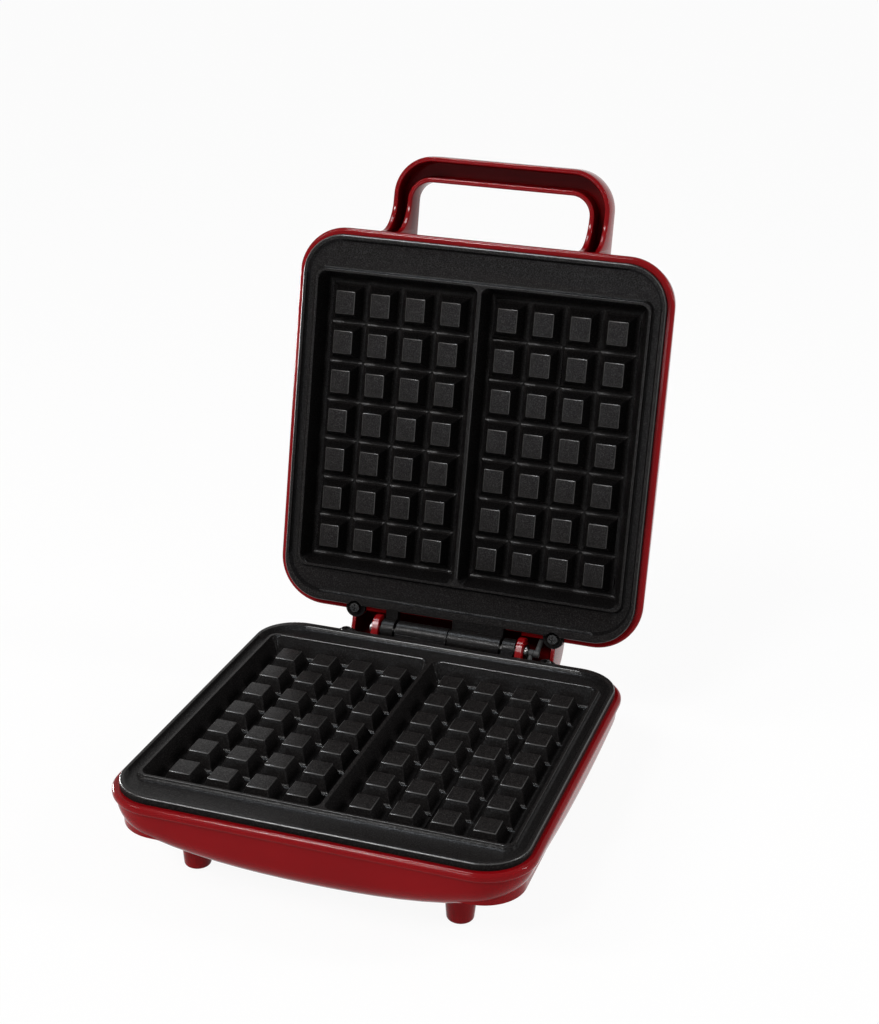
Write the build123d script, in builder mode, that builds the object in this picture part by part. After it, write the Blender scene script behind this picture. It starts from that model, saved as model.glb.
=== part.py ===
"""A belgian waffle maker with two hinged halves, standing open as it does when a waffle is lifted out.

Frame: millimetres, +X to the right, +Y to the back, +Z up, with the origin on the worktop under the
middle of the lower grid plate. Both halves are drawn face up. The lid's half is then turned over
onto the base and swung open about the hinge pin.
"""

from build123d import *

import os
from math import atan, degrees, radians, tan

os.makedirs("parts", exist_ok=True)

# Heights and the parting plane
KNOB_TOP_Z = 55.0
LIP_ABOVE_KNOBS = 2.5
LIP_GAP = 0.6
LIP_TOP_Z = KNOB_TOP_Z + LIP_ABOVE_KNOBS
PARTING_Z = LIP_TOP_Z + LIP_GAP / 2
CLOSED_H = 108.0
OPEN_DEG = 100.0

# Grid plates
PLATE_W = 231.0
PLATE_L = 234.4
PLATE_R = 26.0
FLANGE_T = 4.1
MOAT_DEPTH = 3.0
MOAT_RUN = 1.5
LIP_W_SIDE = 2.4
LIP_W_FRONT = 2.7
LIP_W_REAR = 5.2
LIP_ROUND = 1.2
PAN_STEP = 4.0
PAN_T = 1.9
RIDGE_W = 1.4
RIDGE_RUN = 1.6
WELL_W = 104.1
WELL_L = 187.8
WELL_R = 4.9
WELL_DEPTH = 12.1
RIB_W = 2.2
FLOOR_T = 3.3
KNOB_H = 9.6
KNOB_W = 12.6
KNOB_L = 14.6
KNOB_BREAK = 0.5
KNOB_PITCH_X = 23.0
KNOB_PITCH_Y = 25.0
KNOB_COLS = 4
KNOB_ROWS = 7
DRAFT_RUN = 0.38

# Hinge
HINGE_Y = 129.0
HINGE_DROP = 2.1
BASE_AXIS_Z = PARTING_Z - HINGE_DROP
LID_AXIS_Z = PARTING_Z + HINGE_DROP
KNUCKLE_R = 7.0
LONG_KNUCKLE = (-34.0, -0.4)
SHORT_KNUCKLE = (36.0, 44.0)
BASE_WEB_Z = (50.5, 56.5)
LID_WEB_Z = (52.9, 57.4)
PIN_R = 2.5
PIN_FIT = 0.05
PIN_HALF = 51.3
EAR_X0 = 45.2
EAR_X1 = 49.7
EAR_R = 9.0
CAP_R = 4.6

# Plate screws and their tabs
SCREW_X = 65.7
SCREW_Y = 119.0
TAB_R = 6.5
TAB_TOP_Z = LIP_TOP_Z - 2.9
TAB_T = 3.2
BOSS_H = 7.0

# Housings
RIM_OUT = 4.0
RIM_STEP = 2.0
RIM_H = 4.9
WALL_T = 2.8
LEDGE_T = 2.8
LEDGE_W = 3.3
WALL_DRAFT = 4.0
BASE_CROWN_Z = 11.0
BASE_CROWN_R = 700.0
LID_CROWN_R = 900.0
EDGE_R = 15.0
HOOD_HALF = 67.5
HOOD_WALL = 2.5
HOOD_REAR_Y = 147.5
HOOD_TOP = 34.0
HOOD_R = 22.0

# Feet
FOOT_X = 76.2
FRONT_FOOT_Y = -83.6
REAR_FOOT_Y = 96.0
FOOT_TOP_R = 10.2
FOOT_TIP_R = 7.6
PAD_R = 5.0
PAD_T = 2.6

# Handle
HANDLE_W = 138.6
HANDLE_FRONT = 168.5
HANDLE_BAR = 15.9
HANDLE_LEG = 12.3
HANDLE_T = 18.5
HANDLE_DROP = 2.5
HANDLE_WALL = 3.0
HANDLE_R = 25.0
HANDLE_INNER_R = 12.0
ROOT_R = 8.0
INNER_ROOT_R = 4.0

# Heating and wiring
ELEMENT_R = 3.25
CLAMP_X = 80.0
CLAMP_YS = (-30.0, 20.0)
CLAMP_W = 12.0
STRAP_T = 0.9
M3_R = 1.45
M3_PILOT_R = 1.5
SHIELD_T = 0.8
SHIELD_Z = 32.0
SHIELD_W = 190.0
SHIELD_FRONT = 86.0
SHIELD_REAR = 64.0
POST_X = 60.0
POST_YS = (-50.0, 35.0)
DEVICE_X = 45.0
BUSH_X = -82.0
BUSH_Z = 38.0
BLOCK_X = -60.0
BLOCK_Y = 78.0
BLOCK_Z = 27.0
GUIDE_R = 1.6
GUIDE_L = 28.0
WIRE_R = 1.0
LAMP_X = 9.0
LAMP_Y = -88.0
LENS_R = 4.5

# Sizes that follow from the ones above
DRAFT_DEG = degrees(atan(DRAFT_RUN))
RIM_TOP_Z = LIP_TOP_Z - FLANGE_T
RIM_BOTTOM_Z = RIM_TOP_Z - RIM_H
RIM_W = PLATE_W + 2 * RIM_OUT
RIM_L = PLATE_L + 2 * RIM_OUT
TUB_W = RIM_W - 2 * RIM_STEP
TUB_L = RIM_L - 2 * RIM_STEP
TUB_R = PLATE_R + RIM_OUT - RIM_STEP
PLATE_UNDER_Z = LIP_TOP_Z - WELL_DEPTH - FLOOR_T
ELEMENT_Z = PLATE_UNDER_Z - ELEMENT_R - 0.05
CAVITY_TOP_Z = RIM_TOP_Z - LEDGE_T
LID_CROWN_Z = 2 * PARTING_Z - CLOSED_H
HANDLE_Z0 = LID_CROWN_Z + HANDLE_DROP
HANDLE_Z1 = HANDLE_Z0 + HANDLE_T
GROUP_X = (RIB_W + WELL_W) / 2 - 0.5
PINHOLE_R = PIN_R + PIN_FIT
TAB_SPOTS = [(-SCREW_X, SCREW_Y), (SCREW_X, SCREW_Y)]
FOOT_SPOTS = [(x, y) for x in (-FOOT_X, FOOT_X) for y in (FRONT_FOOT_Y, REAR_FOOT_Y)]
POST_SPOTS = [(x, y) for x in (-POST_X, POST_X) for y in POST_YS]
CLAMP_SPOTS = [(side * (CLAMP_X - 9.5), y) for side in (-1, 1) for y in CLAMP_YS]
DEVICE_SPOTS = [(DEVICE_X - 13, 0), (DEVICE_X + 13, 0)]
GUIDE_BASE_X = 53.8
GUIDE_LID_X = 57.3
BASE_GUIDE_DIR = (0, -0.676, -0.737)
LID_GUIDE_DIR = (0, -0.514, -0.857)


def swing(piece: Part) -> Part:
    """Turns a piece of the lid over onto the base, then swings it open about the hinge pin."""
    closed = piece.rotate(Axis((0, 0, PARTING_Z), (0, 1, 0)), 180)
    return closed.rotate(Axis((0, HINGE_Y, BASE_AXIS_Z), (1, 0, 0)), -OPEN_DEG)


def tab_shape(grow: float, top_z: float, height: float) -> Part:
    """The outline of the two rear screw tabs, extruded downwards."""
    with BuildPart() as tabs:
        with BuildSketch(Plane.XY.offset(top_z)):
            with Locations(*TAB_SPOTS):
                Circle(TAB_R + grow)
            with Locations(*[(x, y - 4) for x, y in TAB_SPOTS]):
                Rectangle(2 * (TAB_R + grow), 8)
        extrude(amount=-height)
    return tabs.part


def grid_casting() -> Part:
    """One cast plate face up, without its hinge knuckles."""
    with BuildPart() as plate:
        # flange with a rounded lip
        with BuildSketch(Plane.XY.offset(LIP_TOP_Z)):
            RectangleRounded(PLATE_W, PLATE_L, PLATE_R)
        extrude(amount=-FLANGE_T)
        fillet(plate.edges().group_by(Axis.Z)[-1], LIP_ROUND)
        # pan that drops inside the housing, and the block under the wells
        with BuildSketch(Plane.XY.offset(RIM_TOP_Z)):
            RectangleRounded(PLATE_W - 2 * PAN_STEP, PLATE_L - 2 * PAN_STEP, PLATE_R - PAN_STEP)
        extrude(amount=-PAN_T)
        with BuildSketch(Plane.XY.offset(RIM_TOP_Z)):
            RectangleRounded(2 * WELL_W + 6, WELL_L + 4, 8)
        extrude(amount=PLATE_UNDER_Z - RIM_TOP_Z, taper=8)
        # moat inside the lip
        moat_l = PLATE_L - LIP_W_FRONT - LIP_W_REAR
        with BuildSketch(Plane.XY.offset(LIP_TOP_Z)):
            with Locations((0, (LIP_W_FRONT - LIP_W_REAR) / 2)):
                RectangleRounded(PLATE_W - 2 * LIP_W_SIDE, moat_l, PLATE_R - LIP_W_SIDE)
        extrude(amount=-MOAT_DEPTH, taper=degrees(atan(MOAT_RUN / MOAT_DEPTH)), mode=Mode.SUBTRACT)
        # ridge round the wells
        foot = 2 * (RIDGE_W + RIDGE_RUN)
        with BuildSketch(Plane.XY.offset(LIP_TOP_Z - MOAT_DEPTH)):
            RectangleRounded(RIB_W + 2 * WELL_W + foot, WELL_L + foot, 7)
        extrude(amount=MOAT_DEPTH, taper=degrees(atan(RIDGE_RUN / MOAT_DEPTH)))
        # two wells with a rib between them
        with BuildSketch(Plane.XY.offset(LIP_TOP_Z)):
            with GridLocations(RIB_W + WELL_W, 0, 2, 1):
                RectangleRounded(WELL_W, WELL_L, WELL_R)
        extrude(amount=-WELL_DEPTH, taper=DRAFT_DEG, mode=Mode.SUBTRACT)
        # knobs, each a drafted block with a broken top edge
        body_h = KNOB_H - KNOB_BREAK
        with BuildSketch(Plane.XY.offset(KNOB_TOP_Z - KNOB_H)):
            with Locations((-GROUP_X, 0), (GROUP_X, 0)):
                with GridLocations(KNOB_PITCH_X, KNOB_PITCH_Y, KNOB_COLS, KNOB_ROWS):
                    Rectangle(KNOB_W + 2 * body_h * DRAFT_RUN, KNOB_L + 2 * body_h * DRAFT_RUN)
        extrude(amount=body_h, taper=DRAFT_DEG)
        with BuildSketch(Plane.XY.offset(KNOB_TOP_Z - KNOB_BREAK)):
            with Locations((-GROUP_X, 0), (GROUP_X, 0)):
                with GridLocations(KNOB_PITCH_X, KNOB_PITCH_Y, KNOB_COLS, KNOB_ROWS):
                    Rectangle(KNOB_W, KNOB_L)
        extrude(amount=KNOB_BREAK, taper=45)
        # screw tabs
        add(tab_shape(0, TAB_TOP_Z, TAB_T))
        with Locations(*[(x, y, TAB_TOP_Z - TAB_T / 2) for x, y in TAB_SPOTS]):
            Cylinder(2.2, TAB_T + 2, mode=Mode.SUBTRACT)
        with Locations(*[(x, y, TAB_TOP_Z + 3) for x, y in TAB_SPOTS]):
            Cylinder(4.7, 6, mode=Mode.SUBTRACT)
        # front lugs that hook under the housing's ledge
        with Locations((-SCREW_X, -112.2, 49.6), (SCREW_X, -112.2, 49.6)):
            Box(14, 2.6, 4.2)
        with Locations((-SCREW_X, -113.4, 48.9), (SCREW_X, -113.4, 48.9)):
            Box(14, 4.6, 2.6)
        # posts for the heat shield
        post_z = SHIELD_Z + SHIELD_T
        with BuildSketch(Plane.XY.offset(post_z)):
            with Locations(*POST_SPOTS):
                Circle(4)
        extrude(amount=PLATE_UNDER_Z + 1 - post_z)
        # pilot holes for the small screws
        with BuildSketch(Plane.XY.offset(post_z)):
            with Locations(*POST_SPOTS):
                Circle(M3_PILOT_R)
        extrude(amount=8, mode=Mode.SUBTRACT)
        with BuildSketch(Plane.XY.offset(PLATE_UNDER_Z)):
            with Locations(*CLAMP_SPOTS, *DEVICE_SPOTS):
                Circle(M3_PILOT_R)
        extrude(amount=2.6, mode=Mode.SUBTRACT)
    return plate.part


def hinge_knuckles(axis_z: float, web_z: tuple) -> Part:
    """The plate's long and short knuckle with their webs, bored for the hinge pin."""
    web_l = HINGE_Y - PLATE_L / 2 + 3
    web_h = web_z[1] - web_z[0]
    with BuildPart() as hinge:
        for start, end in (LONG_KNUCKLE, SHORT_KNUCKLE):
            with BuildSketch(Plane.YZ.offset(start)):
                with Locations((HINGE_Y, axis_z)):
                    Circle(KNUCKLE_R)
                with Locations((HINGE_Y - web_l / 2, web_z[0] + web_h / 2)):
                    Rectangle(web_l, web_h)
                with Locations((HINGE_Y, axis_z)):
                    Circle(PINHOLE_R, mode=Mode.SUBTRACT)
            extrude(amount=end - start)
    return hinge.part


def tub(crown_z: float, crown_r: float) -> Part:
    """A drafted tub with a crowned underside and a rounded edge."""
    top_z = RIM_BOTTOM_Z + 0.5
    with BuildPart() as form:
        with BuildSketch(Plane.XY.offset(top_z)):
            RectangleRounded(TUB_W, TUB_L, TUB_R)
        extrude(amount=-(top_z - crown_z + 2), taper=WALL_DRAFT)
        with Locations((0, 0, crown_z + crown_r)):
            Sphere(crown_r, rotation=(90, 0, 0), mode=Mode.INTERSECT)
        crown = form.faces().filter_by(GeomType.SPHERE).sort_by(SortBy.AREA)[-1]
        fillet(crown.edges(), EDGE_R)
    return form.part


def cavity(crown_z: float, crown_r: float) -> Part:
    """The space inside a tub: drafted walls, sloped corners at the bottom and a crowned floor."""
    floor_z = crown_z + WALL_T
    slope_z = floor_z + 18
    with BuildPart() as space:
        with BuildSketch(Plane.XY.offset(CAVITY_TOP_Z)):
            RectangleRounded(TUB_W - 2 * WALL_T, TUB_L - 2 * WALL_T, TUB_R - WALL_T)
        extrude(amount=slope_z - CAVITY_TOP_Z, taper=WALL_DRAFT)
        inset = 2 * (CAVITY_TOP_Z - slope_z) * tan(radians(WALL_DRAFT)) + 2 * WALL_T
        with BuildSketch(Plane.XY.offset(slope_z + 0.01)):
            RectangleRounded(TUB_W - inset, TUB_L - inset, TUB_R - inset / 2)
        extrude(amount=-19, taper=42)
        with Locations((0, 0, floor_z + crown_r)):
            Sphere(crown_r, rotation=(90, 0, 0), mode=Mode.INTERSECT)
    return space.part


def rim() -> Part:
    """The rounded bead round the open edge of a housing."""
    with BuildPart() as bead:
        with BuildSketch(Plane.XY.offset(RIM_BOTTOM_Z)):
            RectangleRounded(RIM_W, RIM_L, PLATE_R + RIM_OUT)
        extrude(amount=RIM_H)
        fillet(bead.edges().group_by(Axis.Z)[-1], 2.2)
        fillet(bead.edges().group_by(Axis.Z)[0], 1.5)
    return bead.part


def plate_seat(web_bottom_z: float) -> Part:
    """What is cut from a rim for its plate: the opening, tab pockets and hinge notches."""
    with BuildPart() as seat:
        with BuildSketch(Plane.XY.offset(RIM_TOP_Z + 1)):
            RectangleRounded(PLATE_W - 2 * LEDGE_W, PLATE_L - 2 * LEDGE_W, PLATE_R - LEDGE_W)
        extrude(amount=-(LEDGE_T + 1.2))
        add(tab_shape(0.5, TAB_TOP_Z + 1, TAB_T + 1))
        with Locations(*[(x, y, TAB_TOP_Z - TAB_T - 2.3) for x, y in TAB_SPOTS]):
            Cylinder(2.0, 7)
        for start, end in (LONG_KNUCKLE, SHORT_KNUCKLE):
            with Locations(((start + end) / 2, 117.2, web_bottom_z + 9.6)):
                Box(end - start + 1.2, 12, 20)
        with Locations((0, 121, RIM_BOTTOM_Z + 5)):
            Box(2 * EAR_X0 - 0.4, 5.2, 12)
    return seat.part


def guide_arm(x: float, axis_z: float, way: tuple, radius: float, length: float) -> Part:
    """A round arm that runs from the hinge axis into a housing."""
    with BuildPart() as arm:
        with BuildSketch(Plane(origin=(x, HINGE_Y, axis_z), z_dir=way)):
            Circle(radius)
        extrude(amount=length)
    return arm.part


def wire_guide(x: float, axis_z: float, way: tuple) -> Part:
    """A sleeve that takes the wires through the hinge: an arm and a round head on the axis."""
    with BuildPart() as guide:
        with BuildSketch(Plane.YZ.offset(x - GUIDE_R)):
            with Locations((HINGE_Y, axis_z)):
                Circle(2.4)
        extrude(amount=2 * GUIDE_R)
        add(guide_arm(x, axis_z, way, GUIDE_R, GUIDE_L))
    return guide.part




def pan_screws(spots: list, seat_z: float, head_r: float, head_h: float, shank_r: float,
               length: float, way: int) -> Part:
    """Cross-recess pan-head screws seated at seat_z, heads towards way (1 up, -1 down)."""
    with BuildPart() as screws:
        with BuildSketch(Plane.XY.offset(seat_z)):
            with Locations(*spots):
                Circle(head_r)
        extrude(amount=way * head_h, taper=22)
        with BuildSketch(Plane.XY.offset(seat_z)):
            with Locations(*spots):
                Circle(shank_r)
        extrude(amount=-way * length)
        with BuildSketch(Plane.XY.offset(seat_z + way * head_h)):
            with Locations(*spots):
                Rectangle(head_r * 1.1, head_r * 0.26)
                Rectangle(head_r * 0.26, head_r * 1.1)
        extrude(amount=-way * head_h * 0.6, mode=Mode.SUBTRACT)
    return screws.part


def element_rod() -> Part:
    """The tubular heater: one loop near the plate's edge, with both ends at the back."""
    x_end = 15
    y_end = 84
    y_back = 56
    y_front = -72
    route = [(-x_end, y_end), (-x_end, y_back), (-CLAMP_X, y_back), (-CLAMP_X, y_front)]
    route += [(-x, y) for x, y in reversed(route)]
    with BuildPart() as rod:
        with BuildLine(Plane.XY.offset(ELEMENT_Z)) as path:
            FilletPolyline(*route, radius=12)
        with BuildSketch(Plane(origin=(-x_end, y_end, ELEMENT_Z), z_dir=(0, -1, 0))):
            Circle(ELEMENT_R)
        sweep(path=path.wires()[0])
        # terminal pins
        for x in (-x_end, x_end):
            with BuildSketch(Plane(origin=(x, y_end - 1, ELEMENT_Z), z_dir=(0, 1, 0))):
                Circle(1.2)
            extrude(amount=9)
    return rod.part


def element_clamps() -> Part:
    """Steel saddles that hold the element's long runs against the plate."""
    with BuildPart() as clamps:
        for side in (-1, 1):
            for y in CLAMP_YS:
                with BuildSketch(Plane.XZ.offset(-y - CLAMP_W / 2)):
                    with Locations((side * CLAMP_X, ELEMENT_Z)):
                        Circle(ELEMENT_R + 1.0)
                    with Locations((side * (CLAMP_X - 7), PLATE_UNDER_Z - STRAP_T / 2)):
                        Rectangle(14, STRAP_T)
                    with Locations((side * CLAMP_X, ELEMENT_Z)):
                        Circle(ELEMENT_R + 0.08, mode=Mode.SUBTRACT)
                    with Locations((side * CLAMP_X, PLATE_UNDER_Z + 4)):
                        Rectangle(30, 8, mode=Mode.SUBTRACT)
                extrude(amount=CLAMP_W)
        with BuildSketch(Plane.XY.offset(PLATE_UNDER_Z - 2)):
            with Locations(*CLAMP_SPOTS):
                Circle(1.7)
        extrude(amount=3, mode=Mode.SUBTRACT)
    return clamps.part


def heat_shield() -> Part:
    """A pressed tray under the element, with turned-up edges, slots and a notch for the wires."""
    length = SHIELD_FRONT + SHIELD_REAR
    middle_y = (SHIELD_REAR - SHIELD_FRONT) / 2
    with BuildPart() as tray:
        with BuildSketch(Plane.XY.offset(SHIELD_Z)):
            with Locations((0, middle_y)):
                RectangleRounded(SHIELD_W, length, 10)
        extrude(amount=3)
        with BuildSketch(Plane.XY.offset(SHIELD_Z + SHIELD_T)):
            with Locations((0, middle_y)):
                RectangleRounded(SHIELD_W - 2 * SHIELD_T, length - 2 * SHIELD_T, 10 - SHIELD_T)
        extrude(amount=4, mode=Mode.SUBTRACT)
        with BuildSketch(Plane.XY.offset(SHIELD_Z)):
            with Locations(*POST_SPOTS):
                Circle(1.7)
            with Locations((-32, middle_y), (0, middle_y), (32, middle_y)):
                SlotOverall(90, 9, rotation=90)
        extrude(amount=SHIELD_T, mode=Mode.SUBTRACT)
        with Locations((DEVICE_X, SHIELD_REAR, SHIELD_Z + 3)):
            Box(5, 4, 4, mode=Mode.SUBTRACT)
    return tray.part


def wires(routes: list) -> Part:
    """Insulated wires along lists of points, with small bends."""
    with BuildPart() as loom:
        for route in routes:
            with BuildLine() as path:
                    FilletPolyline(*route, radius=2)
            start = Vector(*route[0])
            with BuildSketch(Plane(origin=start, z_dir=Vector(*route[1]) - start)):
                Circle(WIRE_R)
            sweep(path=path.wires()[0])
    return loom.part


def handle_bar() -> Part:
    """The U-shaped handle of the lid with flared roots, still without its channel."""
    depth = 60.0
    bar_y = -HANDLE_FRONT
    with BuildPart() as bar:
        with BuildSketch(Plane.XY.offset(HANDLE_Z0)):
            with Locations((0, bar_y + depth)):
                RectangleRounded(HANDLE_W, 2 * depth, HANDLE_R)
            with Locations((0, bar_y + HANDLE_BAR + depth)):
                RectangleRounded(HANDLE_W - 2 * HANDLE_LEG, 2 * depth, HANDLE_INNER_R, mode=Mode.SUBTRACT)
            with Locations((0, bar_y + 2 * depth)):
                Rectangle(HANDLE_W, 2 * HANDLE_R, mode=Mode.SUBTRACT)
        extrude(amount=HANDLE_T)
        fillet(bar.edges().group_by(Axis.Z)[0], 3)
        # slope that lets the legs sink into the dome
        with BuildSketch(Plane.YZ.offset(-HANDLE_W)):
            Polygon((-117, 0), (-117, HANDLE_Z0), (-90, 17.5), (-50, 17.5), (-50, 0), align=None)
        extrude(amount=2 * HANDLE_W, mode=Mode.SUBTRACT)
        # flared roots on both sides of each leg
        root_y = -TUB_L / 2 + 1.3
        leg_x = (HANDLE_W - HANDLE_LEG) / 2
        with BuildSketch(Plane.XY.offset(HANDLE_Z1 - 5)):
            for reach, side in ((ROOT_R, 1), (INNER_ROOT_R, -1)):
                edge_x = leg_x + side * HANDLE_LEG / 2
                with Locations(*[(x * (edge_x + side * reach / 2), root_y - reach / 2) for x in (-1, 1)]):
                    Rectangle(reach, reach)
                with Locations(*[(x * (edge_x + side * reach), root_y - reach) for x in (-1, 1)]):
                    Circle(reach, mode=Mode.SUBTRACT)
            with Locations(*[(x * leg_x, root_y) for x in (-1, 1)]):
                Rectangle(HANDLE_LEG - 2, 6 * ROOT_R, mode=Mode.SUBTRACT)
            # overlap into the leg walls and the rim
            for x in (-1, 1):
                with Locations((x * (leg_x + HANDLE_LEG / 2 - 0.5), root_y - ROOT_R / 2),
                               (x * (leg_x - HANDLE_LEG / 2 + 0.5), root_y - INNER_ROOT_R / 2)):
                    Rectangle(1, INNER_ROOT_R)
            with Locations(*[(x * (leg_x + (ROOT_R - INNER_ROOT_R) / 2), root_y + 1) for x in (-1, 1)]):
                Rectangle(HANDLE_LEG + ROOT_R + INNER_ROOT_R, 2)
        extrude(amount=5)
    return bar.part


def handle_channel() -> Part:
    """The channel that lightens the handle, open on its plate side."""
    depth = 60.0
    bar_y = -HANDLE_FRONT + HANDLE_WALL
    outer_w = HANDLE_W - 2 * HANDLE_WALL
    inner_w = HANDLE_W - 2 * HANDLE_LEG + 2 * HANDLE_WALL
    inner_y = -HANDLE_FRONT + HANDLE_BAR - HANDLE_WALL
    with BuildPart() as channel:
        with BuildSketch(Plane.XY.offset(HANDLE_Z0 + HANDLE_WALL)):
            with Locations((0, bar_y + depth)):
                RectangleRounded(outer_w, 2 * depth, HANDLE_R - HANDLE_WALL)
            with Locations((0, inner_y + depth)):
                RectangleRounded(inner_w, 2 * depth, HANDLE_INNER_R + HANDLE_WALL, mode=Mode.SUBTRACT)
            with Locations((0, -TUB_L / 2 + 47)):
                Rectangle(HANDLE_W, 100, mode=Mode.SUBTRACT)
        extrude(amount=HANDLE_T)
    return channel.part


def hood_form(half: float, inset: float, grow: float) -> Part:
    """The hood behind the lid that covers the hinge; inset draws it in for the space inside."""
    top_z = LID_AXIS_Z - HOOD_TOP + inset
    rear_y = HOOD_REAR_Y - inset
    edge = [(rear_y, LID_AXIS_Z + 6), (141, 57.9), (131, 54.9), (121, 53.4), (112, 53.4)]
    if grow:
        edge = [(rear_y, 75), (112, 75)]
    with BuildPart() as hood:
        with BuildSketch(Plane.YZ.offset(-half)) as side:
            Polygon((112, top_z), (rear_y, top_z), *edge, align=None)
            fillet(side.vertices().sort_by_distance((rear_y, top_z, 0))[0], HOOD_R - inset)
        extrude(amount=2 * half)
        if not grow:
            skin = hood.edges().filter_by(lambda e: abs(abs(e.center().X) - half) < 0.1)
            fillet(skin.filter_by(lambda e: e.center().Z < 40 or e.center().Y > 147.4), 3)
    return hood.part


casting = grid_casting()
rim_bead = rim()
base_seat = plate_seat(BASE_WEB_Z[0])
lid_seat = plate_seat(LID_WEB_Z[0])
bosses = tab_shape(0.3, TAB_TOP_Z - TAB_T, BOSS_H)
base_form = tub(BASE_CROWN_Z, BASE_CROWN_R)
base_cavity = cavity(BASE_CROWN_Z, BASE_CROWN_R)
lid_form = tub(LID_CROWN_Z, LID_CROWN_R)
lid_cavity = cavity(LID_CROWN_Z, LID_CROWN_R)


# Base housing with moulded feet and the ears that carry the hinge pin
with BuildPart() as base_housing:
    add(rim_bead)
    add(base_form)
    add(base_cavity, mode=Mode.SUBTRACT)
    add(bosses)
    add(base_seat, mode=Mode.SUBTRACT)
    for start in (-EAR_X1, EAR_X0):
        with BuildSketch(Plane.YZ.offset(start)):
            with Locations((HINGE_Y, BASE_AXIS_Z)):
                Circle(EAR_R)
            with Locations((117.9, 48.2)):
                Rectangle(1, 9)
            make_hull()
            with Locations((HINGE_Y, BASE_AXIS_Z)):
                Circle(PINHOLE_R, mode=Mode.SUBTRACT)
        extrude(amount=EAR_X1 - EAR_X0)
    # stops that the hood rests against when the lid is open
    with Locations((-30, 118.54, 38.5), (30, 118.54, 38.5)):
        Box(6, 2.08, 5)
    # hole for the cord bush
    with BuildSketch(Plane(origin=(BUSH_X, 100, BUSH_Z), z_dir=(0, 1, 0))):
        Circle(5.1)
    extrude(amount=30, mode=Mode.SUBTRACT)
    # hole for the wires to the lid
    add(guide_arm(GUIDE_BASE_X, BASE_AXIS_Z, BASE_GUIDE_DIR, GUIDE_R + 0.1, 30), mode=Mode.SUBTRACT)
    # seat of the terminal block
    with Locations((BLOCK_X, BLOCK_Y, BLOCK_Z - 3.2)):
        Box(30, 18, 6.4)
    with Locations((BLOCK_X - 10, BLOCK_Y, BLOCK_Z), (BLOCK_X + 10, BLOCK_Y, BLOCK_Z)):
        Cylinder(M3_PILOT_R, 10, mode=Mode.SUBTRACT)
base_housing.part.label = "base_housing"
export_step(base_housing.part, "parts/base_housing.step")

# Feet that stand against the crowned underside, with recesses for the rubber pads
with BuildPart() as feet:
    with Locations(*[(x, y, 16.0) for x, y in FOOT_SPOTS]):
        Cone(bottom_radius=FOOT_TIP_R, top_radius=FOOT_TOP_R, height=30.4)
    chamfer(feet.edges().group_by(Axis.Z)[0], 1.8)
    add(base_form, mode=Mode.SUBTRACT)
    with BuildSketch(Plane.XY):
        with Locations(*FOOT_SPOTS):
            Circle(PAD_R + 0.1)
    extrude(amount=PAD_T, mode=Mode.SUBTRACT)
feet.part.label = "feet"
export_step(feet.part, "parts/feet.step")

# Lower grid plate
with BuildPart() as lower_plate:
    add(casting)
    add(hinge_knuckles(BASE_AXIS_Z, BASE_WEB_Z))
lower_plate.part.label = "lower_plate"
export_step(lower_plate.part, "parts/lower_plate.step")

with BuildPart() as lower_plate_screws:
    add(pan_screws(TAB_SPOTS, TAB_TOP_Z, 4.0, 2.4, 1.95, 8.4, 1))
lower_plate_screws.part.label = "lower_plate_screws"
export_step(lower_plate_screws.part, "parts/lower_plate_screws.step")

# Hinge pin and its push-on caps
with BuildPart() as hinge_pin:
    with BuildSketch(Plane.YZ.offset(-PIN_HALF)):
        with Locations((HINGE_Y, BASE_AXIS_Z)):
            Circle(PIN_R)
    extrude(amount=2 * PIN_HALF)
    chamfer(hinge_pin.edges(), 0.4)
hinge_pin.part.label = "hinge_pin"
export_step(hinge_pin.part, "parts/hinge_pin.step")

with BuildPart() as hinge_pin_caps:
    for side in (-1, 1):
        with Locations((side * (EAR_X1 + 1.25), HINGE_Y, BASE_AXIS_Z)):
            Cylinder(CAP_R, 2.3, rotation=(0, 90, 0))
    chamfer(hinge_pin_caps.edges().group_by(Axis.X)[-1], 0.8)
    chamfer(hinge_pin_caps.edges().group_by(Axis.X)[0], 0.8)
    with Locations((0, HINGE_Y, BASE_AXIS_Z)):
        Cylinder(PIN_R + 0.02, 2 * PIN_HALF + 0.1, rotation=(0, 90, 0), mode=Mode.SUBTRACT)
hinge_pin_caps.part.label = "hinge_pin_caps"
export_step(hinge_pin_caps.part, "parts/hinge_pin_caps.step")

# Heating of the lower plate
with BuildPart() as lower_element:
    add(element_rod())
lower_element.part.label = "lower_element"
export_step(lower_element.part, "parts/lower_element.step")

with BuildPart() as lower_clamps:
    add(element_clamps())
lower_clamps.part.label = "lower_clamps"
export_step(lower_clamps.part, "parts/lower_clamps.step")

with BuildPart() as lower_small_screws:
    add(pan_screws(CLAMP_SPOTS + DEVICE_SPOTS, PLATE_UNDER_Z - STRAP_T, 2.7, 1.8, M3_R, 3.2, -1))
lower_small_screws.part.label = "lower_small_screws"
export_step(lower_small_screws.part, "parts/lower_small_screws.step")

with BuildPart() as lower_heat_shield:
    add(heat_shield())
lower_heat_shield.part.label = "lower_heat_shield"
export_step(lower_heat_shield.part, "parts/lower_heat_shield.step")

with BuildPart() as lower_shield_screws:
    add(pan_screws(POST_SPOTS, SHIELD_Z, 2.7, 1.8, M3_R, 7.6, -1))
lower_shield_screws.part.label = "lower_shield_screws"
export_step(lower_shield_screws.part, "parts/lower_shield_screws.step")

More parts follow.
